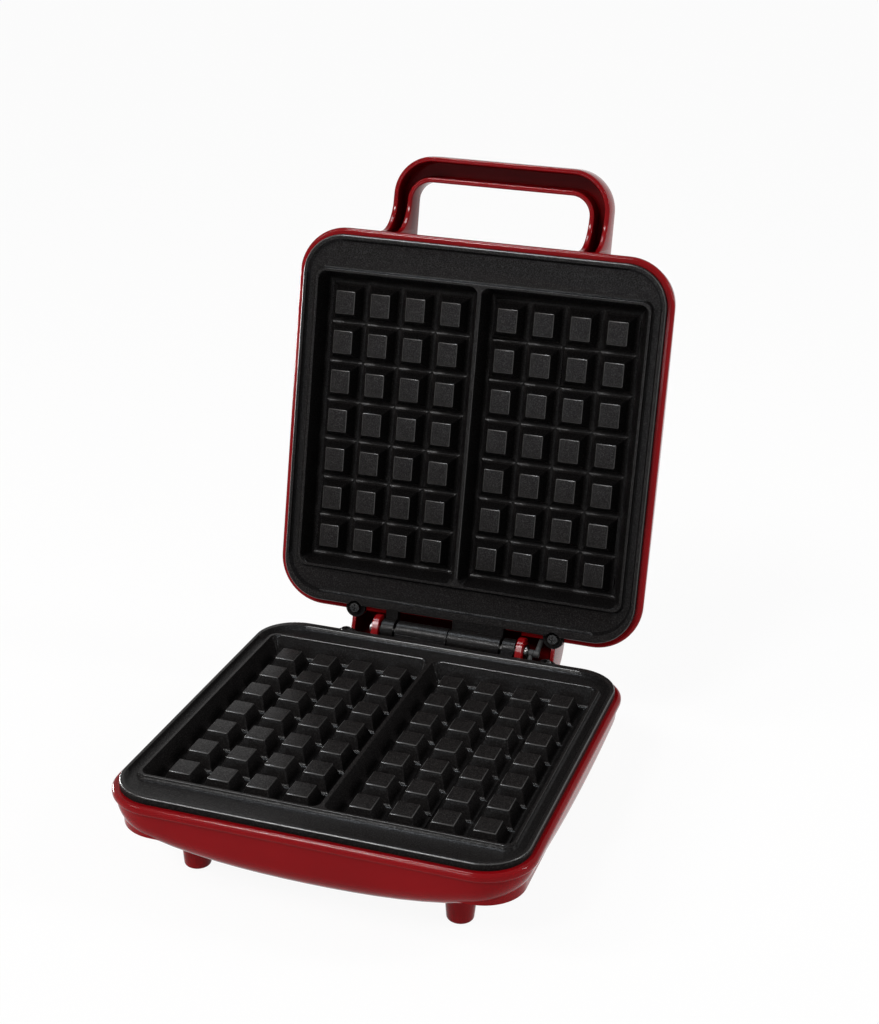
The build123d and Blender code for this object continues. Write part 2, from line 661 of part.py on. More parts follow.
with BuildPart() as thermostat:
    with BuildSketch(Plane.XY.offset(PLATE_UNDER_Z - STRAP_T)):
        with Locations((DEVICE_X, 0)):
            SlotOverall(34, 8)
            Circle(9)
        with Locations(*DEVICE_SPOTS):
            Circle(1.7, mode=Mode.SUBTRACT)
    extrude(amount=STRAP_T)
    with Locations((DEVICE_X, 0, PLATE_UNDER_Z - STRAP_T - 3)):
        Cylinder(8, 6)
    # flat tags for the wires
    for y in (-10, 10):
        with Locations((DEVICE_X, y, PLATE_UNDER_Z - 5.5)):
            Box(4, 6, 0.8)
thermostat.part.label = "thermostat"
export_step(thermostat.part, "parts/thermostat.step")

# Mains side of the base
with BuildPart() as terminal_block:
    with Locations((BLOCK_X, BLOCK_Y, BLOCK_Z + 5)):
        Box(26, 14, 10)
    fillet(terminal_block.edges().filter_by(Axis.Y), 1)
    with Locations((BLOCK_X - 10, BLOCK_Y, BLOCK_Z + 5), (BLOCK_X + 10, BLOCK_Y, BLOCK_Z + 5)):
        Cylinder(1.6, 12, mode=Mode.SUBTRACT)
    with Locations((BLOCK_X - 4, BLOCK_Y, BLOCK_Z + 5), (BLOCK_X + 4, BLOCK_Y, BLOCK_Z + 5)):
        Cylinder(1.3, 20, rotation=(90, 0, 0), mode=Mode.SUBTRACT)
terminal_block.part.label = "terminal_block"
export_step(terminal_block.part, "parts/terminal_block.step")

with BuildPart() as terminal_block_screws:
    add(pan_screws([(BLOCK_X - 10, BLOCK_Y), (BLOCK_X + 10, BLOCK_Y)], BLOCK_Z + 10, 2.7, 1.8, M3_R, 14, 1))
terminal_block_screws.part.label = "terminal_block_screws"
export_step(terminal_block_screws.part, "parts/terminal_block_screws.step")

with BuildPart() as cord_bush:
    with BuildSketch(Plane(origin=(BUSH_X, 113, BUSH_Z), z_dir=(0, 1, 0))):
        Circle(5)
    extrude(amount=12)
    with BuildSketch(Plane(origin=(BUSH_X, 119.2, BUSH_Z), z_dir=(0, 1, 0))):
        Circle(6.6)
    extrude(amount=2.4)
    with BuildSketch(Plane(origin=(BUSH_X, 121, BUSH_Z), z_dir=(0, 1, 0))):
        Circle(5)
    extrude(amount=20, taper=4)
    # bend relief grooves
    with Locations(*[(BUSH_X, 125.5 + 5 * i, BUSH_Z) for i in range(3)]):
        Cylinder(7, 1.4, rotation=(90, 0, 0), mode=Mode.SUBTRACT)
        Cylinder(3.2, 1.6, rotation=(90, 0, 0))
    with BuildSketch(Plane(origin=(BUSH_X, 112, BUSH_Z), z_dir=(0, 1, 0))):
        Circle(2)
    extrude(amount=32, mode=Mode.SUBTRACT)
cord_bush.part.label = "cord_bush"
export_step(cord_bush.part, "parts/cord_bush.step")

PIN_END_Y = 92.3
GUIDE_END_Y = HINGE_Y - 0.676 * GUIDE_L
GUIDE_END_Z = BASE_AXIS_Z - 0.737 * GUIDE_L
with BuildPart() as base_wiring:
    mains = [(BUSH_X, 112.6, BUSH_Z), (BUSH_X, 100, BUSH_Z), (BLOCK_X - 4, 92, 32), (BLOCK_X - 4, 82, 32)]
    feed = [(BLOCK_X + 4, 82, 32), (BLOCK_X + 4, 102, 32), (GUIDE_BASE_X, 104, GUIDE_END_Z - 4),
            (GUIDE_BASE_X, GUIDE_END_Y - 0.6, GUIDE_END_Z - 0.65)]
    sense = [(15, PIN_END_Y, ELEMENT_Z), (15, 101, ELEMENT_Z), (DEVICE_X, 84, 34.2), (DEVICE_X, 22, 34.2),
             (DEVICE_X, 13.2, PLATE_UNDER_Z - 5.5)]
    add(wires([mains, feed, sense]))
base_wiring.part.label = "base_wiring"
export_step(base_wiring.part, "parts/base_wiring.step")

with BuildPart() as base_wire_guide:
    add(wire_guide(GUIDE_BASE_X, BASE_AXIS_Z, BASE_GUIDE_DIR))
base_wire_guide.part.label = "base_wire_guide"
export_step(base_wire_guide.part, "parts/base_wire_guide.step")

# Rubber pads under the feet
with BuildPart() as foot_pads:
    with BuildSketch(Plane.XY):
        with Locations(*FOOT_SPOTS):
            Circle(PAD_R)
    extrude(amount=PAD_T)
    chamfer(foot_pads.edges().group_by(Axis.Z)[0], 0.5)
foot_pads.part.label = "foot_pads"
export_step(foot_pads.part, "parts/foot_pads.step")

# Lid housing with the hood over the hinge and the handle
with BuildPart() as lid_housing:
    add(rim_bead)
    add(lid_form)
    add(hood_form(HOOD_HALF, 0, False))
    add(handle_bar())
    add(handle_channel(), mode=Mode.SUBTRACT)
    add(hood_form(HOOD_HALF - HOOD_WALL, HOOD_WALL, True) - lid_form - rim_bead, mode=Mode.SUBTRACT)
    add(lid_cavity, mode=Mode.SUBTRACT)
    add(bosses)
    add(lid_seat, mode=Mode.SUBTRACT)
    # windows of the two lights
    with Locations((-LAMP_X, LAMP_Y, 14), (LAMP_X, LAMP_Y, 14)):
        Cylinder(LENS_R + 0.1, 16, mode=Mode.SUBTRACT)
    # posts of the lamp holder
    for x in (-21, 21):
        with Locations((x, LAMP_Y, 14.9)):
            Cylinder(3.2, 4.2)
        with Locations((x, LAMP_Y, 17)):
            Cylinder(1.5, 7, mode=Mode.SUBTRACT)
    # hole for the wires from the base
    add(guide_arm(GUIDE_LID_X * -1, LID_AXIS_Z, LID_GUIDE_DIR, GUIDE_R + 0.1, 30), mode=Mode.SUBTRACT)
lid_housing.part = swing(lid_housing.part)
lid_housing.part.label = "lid_housing"
export_step(lid_housing.part, "parts/lid_housing.step")

# Upper grid plate
with BuildPart() as upper_plate:
    add(casting)
    add(hinge_knuckles(LID_AXIS_Z, LID_WEB_Z))
upper_plate.part = swing(upper_plate.part)
upper_plate.part.label = "upper_plate"
export_step(upper_plate.part, "parts/upper_plate.step")

with BuildPart() as upper_plate_screws:
    add(pan_screws(TAB_SPOTS, TAB_TOP_Z, 4.0, 2.4, 1.95, 8.4, 1))
upper_plate_screws.part = swing(upper_plate_screws.part)
upper_plate_screws.part.label = "upper_plate_screws"
export_step(upper_plate_screws.part, "parts/upper_plate_screws.step")

# Heating of the upper plate
with BuildPart() as upper_element:
    add(element_rod())
upper_element.part = swing(upper_element.part)
upper_element.part.label = "upper_element"
export_step(upper_element.part, "parts/upper_element.step")

with BuildPart() as upper_clamps:
    add(element_clamps())
upper_clamps.part = swing(upper_clamps.part)
upper_clamps.part.label = "upper_clamps"
export_step(upper_clamps.part, "parts/upper_clamps.step")

with BuildPart() as upper_small_screws:
    add(pan_screws(CLAMP_SPOTS + DEVICE_SPOTS, PLATE_UNDER_Z - STRAP_T, 2.7, 1.8, M3_R, 3.2, -1))
upper_small_screws.part = swing(upper_small_screws.part)
upper_small_screws.part.label = "upper_small_screws"
export_step(upper_small_screws.part, "parts/upper_small_screws.step")

with BuildPart() as upper_heat_shield:
    add(heat_shield())
upper_heat_shield.part = swing(upper_heat_shield.part)
upper_heat_shield.part.label = "upper_heat_shield"
export_step(upper_heat_shield.part, "parts/upper_heat_shield.step")

with BuildPart() as upper_shield_screws:
    add(pan_screws(POST_SPOTS, SHIELD_Z, 2.7, 1.8, M3_R, 7.6, -1))
upper_shield_screws.part = swing(upper_shield_screws.part)
upper_shield_screws.part.label = "upper_shield_screws"
export_step(upper_shield_screws.part, "parts/upper_shield_screws.step")

# Thermal fuse and the strap that holds it
FUSE_Z = PLATE_UNDER_Z - 2.6
with BuildPart() as thermal_fuse:
    with BuildSketch(Plane.XZ.offset(-7)):
        with Locations((DEVICE_X, FUSE_Z)):
            Circle(2)
    extrude(amount=14)
    with BuildSketch(Plane.XZ.offset(-12)):
        with Locations((DEVICE_X, FUSE_Z)):
            Circle(0.6)
    extrude(amount=24)
thermal_fuse.part = swing(thermal_fuse.part)
thermal_fuse.part.label = "thermal_fuse"
export_step(thermal_fuse.part, "parts/thermal_fuse.step")

with BuildPart() as fuse_strap:
    with BuildSketch(Plane.XZ.offset(-4)):
        with Locations((DEVICE_X, FUSE_Z)):
            Circle(3)
        with Locations((DEVICE_X, PLATE_UNDER_Z - STRAP_T / 2)):
            Rectangle(34, STRAP_T)
        with Locations((DEVICE_X, FUSE_Z)):
            Circle(2.05, mode=Mode.SUBTRACT)
        with Locations((DEVICE_X, PLATE_UNDER_Z + 2)):
            Rectangle(34, 4, mode=Mode.SUBTRACT)
    extrude(amount=8)
    with BuildSketch(Plane.XY.offset(PLATE_UNDER_Z - 2)):
        with Locations(*DEVICE_SPOTS):
            Circle(1.7)
    extrude(amount=3, mode=Mode.SUBTRACT)
fuse_strap.part = swing(fuse_strap.part)
fuse_strap.part.label = "fuse_strap"
export_step(fuse_strap.part, "parts/fuse_strap.step")

# Indicator lights
for name, x in (("power", -LAMP_X), ("ready", LAMP_X)):
    with BuildPart() as lens:
        with BuildSketch(Plane.XY.offset(10.8)):
            with Locations((x, LAMP_Y)):
                Circle(LENS_R)
        extrude(amount=5)
        chamfer(lens.edges().group_by(Axis.Z)[0], 0.8)
        with BuildSketch(Plane.XY.offset(15.8)):
            with Locations((x, LAMP_Y)):
                Circle(6)
        extrude(amount=1.1)
    lens.part = swing(lens.part)
    lens.part.label = f"{name}_lens"
    export_step(lens.part, f"parts/{name}_lens.step")
    with BuildPart() as lamp:
        with BuildSketch(Plane.XY.offset(17)):
            with Locations((x, LAMP_Y)):
                Circle(2.4)
        extrude(amount=10)
    lamp.part = swing(lamp.part)
    lamp.part.label = f"{name}_lamp"
    export_step(lamp.part, f"parts/{name}_lamp.step")

with BuildPart() as lamp_holder:
    with BuildSketch(Plane.XY.offset(17)):
        with Locations((0, LAMP_Y)):
            SlotOverall(52, 10)
        with Locations((-LAMP_X, LAMP_Y), (LAMP_X, LAMP_Y)):
            Circle(2.45, mode=Mode.SUBTRACT)
        with Locations((-21, LAMP_Y), (21, LAMP_Y)):
            Circle(1.7, mode=Mode.SUBTRACT)
    extrude(amount=2)
lamp_holder.part = swing(lamp_holder.part)
lamp_holder.part.label = "lamp_holder"
export_step(lamp_holder.part, "parts/lamp_holder.step")

with BuildPart() as lamp_holder_screws:
    add(pan_screws([(-21, LAMP_Y), (21, LAMP_Y)], 19, 2.7, 1.8, M3_R, 5, 1))
lamp_holder_screws.part = swing(lamp_holder_screws.part)
lamp_holder_screws.part.label = "lamp_holder_screws"
export_step(lamp_holder_screws.part, "parts/lamp_holder_screws.step")

LID_GUIDE_END_Y = HINGE_Y - 0.514 * GUIDE_L
LID_GUIDE_END_Z = LID_AXIS_Z - 0.857 * GUIDE_L
with BuildPart() as lid_wiring:
    feed = [(-GUIDE_LID_X, LID_GUIDE_END_Y - 0.5, LID_GUIDE_END_Z - 0.85), (-GUIDE_LID_X, 110, 32),
            (-15, 104, ELEMENT_Z), (-15, PIN_END_Y, ELEMENT_Z)]
    sense = [(15, PIN_END_Y, ELEMENT_Z), (15, 101, ELEMENT_Z), (DEVICE_X, 84, 34.2), (DEVICE_X, 22, 34.2),
             (DEVICE_X, 12.2, FUSE_Z)]
    add(wires([feed, sense]))
lid_wiring.part = swing(lid_wiring.part)
lid_wiring.part.label = "lid_wiring"
export_step(lid_wiring.part, "parts/lid_wiring.step")

with BuildPart() as lid_wire_guide:
    add(wire_guide(-GUIDE_LID_X, LID_AXIS_Z, LID_GUIDE_DIR))
lid_wire_guide.part = swing(lid_wire_guide.part)
lid_wire_guide.part.label = "lid_wire_guide"
export_step(lid_wire_guide.part, "parts/lid_wire_guide.step")
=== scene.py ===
"""Looks of the belgian waffle maker: its red shells, non-stick grid plates, hinge and fittings.

The pieces are drawn in millimetres. A half is drawn face up, as the base lies. The lid's half is
then turned over onto the base and swung open about the hinge pin, as it is at rest.
"""

import logging
import math
from dataclasses import dataclass, field
from enum import Enum
from typing import Callable, Sequence

import bmesh
import bpy
from mathutils import Matrix, Vector

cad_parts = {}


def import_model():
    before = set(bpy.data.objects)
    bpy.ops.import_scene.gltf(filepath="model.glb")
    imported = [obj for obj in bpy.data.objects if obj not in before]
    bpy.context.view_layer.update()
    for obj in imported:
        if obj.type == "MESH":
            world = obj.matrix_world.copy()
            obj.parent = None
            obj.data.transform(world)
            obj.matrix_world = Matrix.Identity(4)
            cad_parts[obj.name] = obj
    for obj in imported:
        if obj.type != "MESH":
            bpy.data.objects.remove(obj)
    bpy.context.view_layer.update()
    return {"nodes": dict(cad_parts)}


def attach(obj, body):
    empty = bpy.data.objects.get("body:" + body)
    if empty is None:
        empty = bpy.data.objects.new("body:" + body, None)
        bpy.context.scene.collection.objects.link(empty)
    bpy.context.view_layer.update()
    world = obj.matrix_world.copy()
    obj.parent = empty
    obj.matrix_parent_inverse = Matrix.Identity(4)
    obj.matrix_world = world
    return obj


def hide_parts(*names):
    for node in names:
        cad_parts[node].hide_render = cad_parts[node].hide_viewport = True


LOG = logging.getLogger("waffle_maker")
MM = 0.001
# Values that a mesh carries on its faces
# Share of painted light and wear on the plates: 0 painted shade, 0.5 plain, 1 wear and painted
# highlight
LIGHT_AND_RUB = "light_and_rub"
# Share of painted shade on faces inside the hood and the handle's channel
INSIDE_SHADE = "inside"
# Where most values of a grain lie, and the whole range of a share
MOST = (0.3, 0.7)
WHOLE = (0.0, 1.0)
WHITE = (1.0, 1.0, 1.0)
# The plates' two screw tabs: how far they stand from the middle, and the height that they sit at
SCREW_X = 65.7
TAB_SEAT_Z = 51.4

Point2 = tuple[float, float]
Point3 = tuple[float, float, float]
Colour = tuple[float, float, float]
Walk = list[tuple[Vector, Vector]]
Socket = bpy.types.NodeSocket
Piece = bpy.types.Object


class Half(Enum):
    """The two halves of the maker, by the name of the body that each rides on."""

    BASE = "base"
    LID = "lid"


class Axis(Enum):
    """The direction in which a drawn outline is given its thickness."""

    X = "x"
    Z = "z"


@dataclass(frozen=True)
class Hinge:
    """Where the halves meet and how far the lid stands open, in millimetres and degrees."""

    y: float = 129.0
    z: float = 55.7
    parting_z: float = 57.8
    open_deg: float = 100.0

    def placement(self, half: Half) -> Matrix:
        """Gives the matrix from a half drawn face up, in millimetres, to the frame in metres.

        Args:
            half: The half that is placed.

        Returns:
            The placing matrix, scale included.
        """
        scale = Matrix.Scale(MM, 4)
        if half is Half.BASE:
            return scale
        turn = Matrix.Translation((0, 0, self.parting_z))
        turn = turn @ Matrix.Rotation(math.pi, 4, "Y") @ turn.inverted()
        pin = Matrix.Translation((0, self.y, self.z))
        swing = pin @ Matrix.Rotation(-math.radians(self.open_deg), 4, "X") @ pin.inverted()
        return scale @ swing @ turn


HINGE = Hinge()


class Skin:
    """Collects the points and faces of one piece, in millimetres with its half face up."""

    def __init__(self) -> None:
        """Starts an empty skin."""
        self.points: list[Point3] = []
        self.faces: list[tuple[int, ...]] = []

    def ring(self, points: Sequence[Point3]) -> list[int]:
        """Adds points.

        Args:
            points: The points, in order.

        Returns:
            Their numbers.
        """
        start = len(self.points)
        self.points.extend(tuple(p) for p in points)
        return list(range(start, start + len(points)))

    def bridge(self, rows: Sequence[list[int]]) -> None:
        """Joins rings of points with bands of faces.

        Args:
            rows: The numbers of the rings' points, as many in each ring.
        """
        for first, second in zip(rows, rows[1:]):
            for i, a in enumerate(first):
                j = (i + 1) % len(first)
                self.faces.append((a, first[j], second[j], second[i]))

    def fan(self, ring: list[int], centre: Point3) -> None:
        """Closes a ring of points with triangles to a centre point.

        Args:
            ring: The numbers of the ring's points.
            centre: The centre point.
        """
        middle = self.ring([centre])[0]
        for i, a in enumerate(ring):
            self.faces.append((a, ring[(i + 1) % len(ring)], middle))

    def face(self, ring: list[int]) -> None:
        """Closes a ring of points with one face."""
        self.faces.append(tuple(ring))

    def tube(self, rows: Sequence[list[int]]) -> None:
        """Joins rings of points and closes both ends."""
        self.bridge(rows)
        self.face(rows[0])
        self.face(rows[-1])

    def piece(self, name: str, half: Half, sharp_deg: float = 35.0) -> Piece:
        """Makes the object, placed in the frame, smooth but for its sharp edges.

        Args:
            name: The piece's name.
            half: The half that it belongs to.
            sharp_deg: The angle from which an edge stays sharp.

        Returns:
            The new object.
        """
        place = HINGE.placement(half)
        mesh = bpy.data.meshes.new(name)
        mesh.from_pydata([place @ Vector(p) for p in self.points], [], self.faces)
        tidy = bmesh.new()
        tidy.from_mesh(mesh)
        bmesh.ops.recalc_face_normals(tidy, faces=tidy.faces)
        tidy.to_mesh(mesh)
        tidy.free()
        shade_smooth(mesh, sharp_deg)
        return linked(name, mesh)


def linked(name: str, data: bpy.types.ID) -> Piece:
    """Makes an object and puts it into the scene.

    Args:
        name: The object's name.
        data: Its mesh, camera or light.

    Returns:
        The new object.
    """
    item = bpy.data.objects.new(name, data)
    bpy.context.scene.collection.objects.link(item)
    return item


def shade_smooth(mesh: bpy.types.Mesh, sharp_deg: float) -> None:
    """Shades a mesh smooth and marks the edges that turn more than an angle as sharp."""
    mesh.shade_smooth()
    mesh.set_sharp_from_angle(angle=math.radians(sharp_deg))


def settle(piece: Piece, sharp_deg: float = 35.0) -> None:
    """Turns what a piece's modifiers make of it into its own mesh, without modifiers.

    Args:
        piece: The piece with its modifiers.
        sharp_deg: The angle from which an edge stays sharp.
    """
    bpy.context.view_layer.update()
    seen = piece.evaluated_get(bpy.context.evaluated_depsgraph_get())
    mesh = bpy.data.meshes.new_from_object(seen)
    piece.modifiers.clear()
    piece.data = mesh
    shade_smooth(mesh, sharp_deg)


def cut(piece: Piece, tools: Sequence[Piece]) -> Piece:
    """Takes the tools' forms out of a piece and removes the tools.

    Args:
        piece: The piece.
        tools: The forms that are taken out of it.

    Returns:
        The same piece.
    """
    for tool in tools:
        change = piece.modifiers.new("cut", "BOOLEAN")
        change.operation = "DIFFERENCE"
        change.solver = "EXACT"
        change.object = tool
        settle(piece)
        bpy.data.objects.remove(tool)
    return piece


def mark(piece: Piece, half: Half, name: str, share: Callable[[Vector, Vector], float]) -> None:
    """Writes a value on each face of a piece, for its finish to read.

    Args:
        piece: The piece.
        half: The half that it belongs to.
        name: The value's name.
        share: Gives the value from a face's middle and normal, in the half drawn face up.
    """
    back = HINGE.placement(half).inverted()
    turn = back.to_3x3().normalized()
    values = piece.data.attributes.new(name, "FLOAT", "FACE")
    for face in piece.data.polygons:
        values.data[face.index].value = share(back @ face.center, turn @ face.normal)


def soften(piece: Piece, width: float, steps: int = 2, from_deg: float = 30.0) -> Piece:
    """Breaks a piece's edges with a small round.

    Args:
        piece: The piece.
        width: Width of the round in millimetres.
        steps: How many faces go round it.
        from_deg: The angle from which an edge is broken.

    Returns:
        The same piece.
    """
    change = piece.modifiers.new("soften", "BEVEL")
    change.width = width * MM
    change.segments = steps
    change.limit_method = "ANGLE"
    change.angle_limit = math.radians(from_deg)
    change.use_clamp_overlap = True
    return piece


def arc(centre: Point2, radius: float, start_deg: float, end_deg: float,
        steps: int) -> list[Point2]:
    """Points along an arc, both ends included.

    Args:
        centre: The arc's centre.
        radius: Its radius.
        start_deg: The angle of its first point.
        end_deg: The angle of its last point.
        steps: How many pieces it is divided into.

    Returns:
        One point more than there are steps.
    """
    x, y = centre
    turns = [math.radians(start_deg + (end_deg - start_deg) * i / steps) for i in range(steps + 1)]
    return [(x + radius * math.cos(a), y + radius * math.sin(a)) for a in turns]


def rectangle(first: Point2, second: Point2) -> list[Point2]:
    """Corners of a rectangle, once round, from the range that it covers each way."""
    (a0, a1), (b0, b1) = first, second
    return [(a0, b0), (a1, b0), (a1, b1), (a0, b1)]


def tab_outline(x: float, radius: float) -> list[Point2]:
    """Outline under one of the plates' screw tabs, straight in front and round behind."""
    y0, y1 = 111.0, 119.0
    return [(x - radius, y0), *arc((x, y1), radius, 180, 0, 24), (x + radius, y0)]


def slab(outline: Sequence[Point2], low: float, high: float, axis: Axis, half: Half,
         name: str) -> Piece:
    """Gives an outline its thickness.

    Args:
        outline: Points in (x, y) for a slab along Z, and in (y, z) for one along X.
        low: Where the slab starts along its axis.
        high: Where it ends.
        axis: The direction of its thickness.
        half: The half that it belongs to.
        name: The piece's name.

    Returns:
        The closed piece.
    """
    skin = Skin()
    rows = [
        skin.ring([(a, b, level) if axis is Axis.Z else (level, a, b) for a, b in outline])
        for level in (low, high)
    ]
    skin.tube(rows)
    return skin.piece(name, half)


def turned(profile: Sequence[Point2], spot: Point2, half: Half, name: str,
           steps: int = 48) -> Piece:
    """Turns a profile about an upright axis.

    Args:
        profile: Points in (radius, z), first and last of them on the axis.
        spot: Where the axis stands, in (x, y).
        half: The half that the piece belongs to.
        name: The piece's name.
        steps: How many faces go round.

    Returns:
        The closed piece.
    """
    skin = Skin()
    turns = [2 * math.pi * i / steps for i in range(steps)]
    rows = [
        skin.ring([(spot[0] + r * math.cos(a), spot[1] + r * math.sin(a), z) for a in turns])
        for r, z in profile[1:-1]
    ]
    skin.bridge(rows)
    skin.fan(rows[0], (*spot, profile[0][1]))
    skin.fan(rows[-1], (*spot, profile[-1][1]))
    return skin.piece(name, half)


class Nodes:
    """Writes the nodes of one procedural finish."""

    def __init__(self, name: str) -> None:
        """Starts a material with a plain shader in it.

        Args:
            name: The material's name.
        """
        self.material = bpy.data.materials.new(name)
        self.material.use_nodes = True
        self.tree = self.material.node_tree
        self.shader = self.tree.nodes["Principled BSDF"]
        self.place = self.tree.nodes.new("ShaderNodeTexCoord").outputs["Object"]

    def noise(self, size: float, detail: float, stretch: Point3 | None = None) -> Socket:
        """Adds a grain.

        Args:
            size: The size of its grains in millimetres.
            detail: How much finer grain lies on them.
            stretch: How it is stretched along each axis, where it isn't even.

        Returns:
            The grain's value.
        """
        node = self.tree.nodes.new("ShaderNodeTexNoise")
        node.inputs["Scale"].default_value = 1 / (size * MM)
        node.inputs["Detail"].default_value = detail
        node.inputs["Roughness"].default_value = 0.55
        place = self.place
        if stretch is not None:
            mapping = self.tree.nodes.new("ShaderNodeMapping")
            mapping.inputs["Scale"].default_value = stretch
            self.tree.links.new(place, mapping.inputs["Vector"])
            place = mapping.outputs["Vector"]
        self.tree.links.new(place, node.inputs["Vector"])
        return node.outputs["Fac"]

    def written(self, name: str) -> Socket:
        """Reads a value that the mesh carries on its faces.

        Args:
            name: The value's name.

        Returns:
            The value.
        """
        node = self.tree.nodes.new("ShaderNodeAttribute")
        node.attribute_name = name
        return node.outputs["Fac"]

    def span(self, value: Socket, reads: Point2, gives: Point2) -> Socket:
        """Maps one range of a value onto another.

        Args:
            value: The value.
            reads: The range that is read.
            gives: The range that it becomes.

        Returns:
            The mapped value.
        """
        node = self.tree.nodes.new("ShaderNodeMapRange")
        for socket, number in zip(("From Min", "From Max", "To Min", "To Max"), (*reads, *gives)):
            node.inputs[socket].default_value = number
        self.tree.links.new(value, node.inputs["Value"])
        return node.outputs["Result"]

    def total(self, first: Socket, second: Socket) -> Socket:
        """Adds two values."""
        return combined(self.tree, "ADD", first, second)

    def mix(self, share: Socket, first: Colour | Socket, second: Colour) -> Socket:
        """Mixes two colours by a value.

        Args:
            share: How much of the second colour shows.
            first: The colour where the value is 0, or a socket that gives it.
            second: The colour where it is 1.

        Returns:
            The mixed colour.
        """
        node = self.tree.nodes.new("ShaderNodeMix")
        node.data_type = "RGBA"
        self.tree.links.new(share, node.inputs["Factor"])
        if isinstance(first, Socket):
            self.tree.links.new(first, node.inputs["A"])
        else:
            node.inputs["A"].default_value = (*first, 1)
        node.inputs["B"].default_value = (*second, 1)
        return node.outputs["Result"]

    def drift(self, value: Socket, first: Colour, second: Colour) -> Socket:
        """Mixes two colours by a grain, so that the colour drifts from one to the other."""
        return self.mix(self.span(value, MOST, WHOLE), first, second)

    def bump(self, value: Socket, depth: float, below: Socket | None = None) -> Socket:
        """Raises the surface by a value.

        Args:
            value: The height, from 0 to 1.
            depth: How high 1 is, in millimetres.
            below: The surface that it lies on, where there is one.

        Returns:
            The bent normal.
        """
        node = self.tree.nodes.new("ShaderNodeBump")
        node.inputs["Distance"].default_value = depth * MM
        self.tree.links.new(value, node.inputs["Height"])
        if below is not None:
            self.tree.links.new(below, node.inputs["Normal"])
        return node.outputs["Normal"]

    def feed(self, value: Socket, socket: str) -> None:
        """Links a value to one of the shader's sockets."""
        self.tree.links.new(value, self.shader.inputs[socket])

    def fix(self, **settings: float) -> None:
        """Sets sockets of the shader that are the same all over.

        Args:
            settings: The sockets' values, by name with _ for a space.
        """
        for name, value in settings.items():
            self.shader.inputs[name.replace("_", " ")].default_value = value


def combined(tree: bpy.types.NodeTree, operation: str, first: Socket,
             second: Socket | float) -> Socket:
    """Adds a node that works out one value from two.

    Args:
        tree: The nodes that it is added to.
        operation: What is done with the two values.
        first: The first value.
        second: The second value, or a plain number.

    Returns:
        The result.
    """
    node = tree.nodes.new("ShaderNodeMath")
    node.operation = operation
    tree.links.new(first, node.inputs[0])
    if isinstance(second, Socket):
        tree.links.new(second, node.inputs[1])
    else:
        node.inputs[1].default_value = second
    return node.outputs[0]


def blended(tree: bpy.types.NodeTree, share: Socket, first: Socket, second: Socket) -> Socket:
    """Blends two shaders.

    Args:
        tree: The nodes that the blend is added to.
        share: How much of the second shader shows.
        first: The shader where the share is 0.
        second: The shader where it is 1.

    Returns:
        The blended shader.
    """
    node = tree.nodes.new("ShaderNodeMixShader")
    for socket, value in zip(node.inputs, (share, first, second)):
        tree.links.new(value, socket)
    return node.outputs["Shader"]


@dataclass(frozen=True)
class Finish:
    """A surface: its slot in the record, its colours, gloss and grain. Sizes are in millimetres."""

    slot: str
    colour: Colour
    shade: Colour
    gloss: Point2
    grain: float
    depth: float
    patch: float = 18.0
    metal: float = 0.0
    specular: float = 0.5

    def nodes(self) -> Nodes:
        """Starts the material with what is the same all over.

        Returns:
            Its nodes.
        """
        nodes = Nodes(self.slot)
        nodes.fix(Metallic=self.metal, Specular_IOR_Level=self.specular)
        return nodes

    def make(self) -> bpy.types.Material:
        """Makes the material.

        Returns:
            A material whose colour drifts slowly, with a fine grain in its gloss and height.
        """
        nodes = self.nodes()
        drift = nodes.noise(self.patch, 2)
        grain = nodes.noise(self.grain, 3)
        nodes.feed(nodes.drift(drift, self.colour, self.shade), "Base Color")
        nodes.feed(nodes.span(grain, MOST, self.gloss), "Roughness")
        nodes.feed(nodes.bump(grain, self.depth), "Normal")
        return nodes.material


@dataclass(frozen=True)
class GlossPlastic(Finish):
    """Moulded glossy plastic with a clear coat, a faint ripple, fine scuffs, and painted shade on a
    duller inside.
    """

    coat: float = 0.04
    coat_gloss: float = 0.04
    scuff: float = 2.2
    scuff_range: Point2 = (0.35, 0.72)
    ripple: float = 9.0
    ripple_depth: float = 0.0072
    # Painted shade: the colour of faces inside the hood and the handle's channel
    inside: Colour = (0.07, 0.0008, 0.0014)
    inside_rougher: float = 0.3
    inside_specular: float = 0.02

    def make(self) -> bpy.types.Material:
        """Makes the material.

        Returns:
            A deep glossy colour over a ripple that bends its reflections a little.
        """
        nodes = self.nodes()
        nodes.fix(Coat_Weight=self.coat, Coat_Roughness=self.coat_gloss)
        drift = nodes.noise(self.patch, 3)
        grain = nodes.noise(self.grain, 4)
        scuffs = nodes.noise(self.scuff, 6)
        # Faces inside get a painted shade colour, and a rougher, less shiny gloss
        shade_share = nodes.written(INSIDE_SHADE)
        outside = nodes.drift(drift, self.colour, self.shade)
        nodes.feed(nodes.mix(shade_share, outside, self.inside), "Base Color")
        gloss = nodes.span(scuffs, self.scuff_range, self.gloss)
        rougher = nodes.span(shade_share, WHOLE, (0, self.inside_rougher))
        nodes.feed(nodes.total(gloss, rougher), "Roughness")
        shine = nodes.span(shade_share, WHOLE, (self.specular, self.inside_specular))
        nodes.feed(shine, "Specular IOR Level")
        wave = nodes.bump(nodes.noise(self.ripple, 1), self.ripple_depth)
        nodes.feed(nodes.bump(grain, self.depth, wave), "Normal")
        return nodes.material


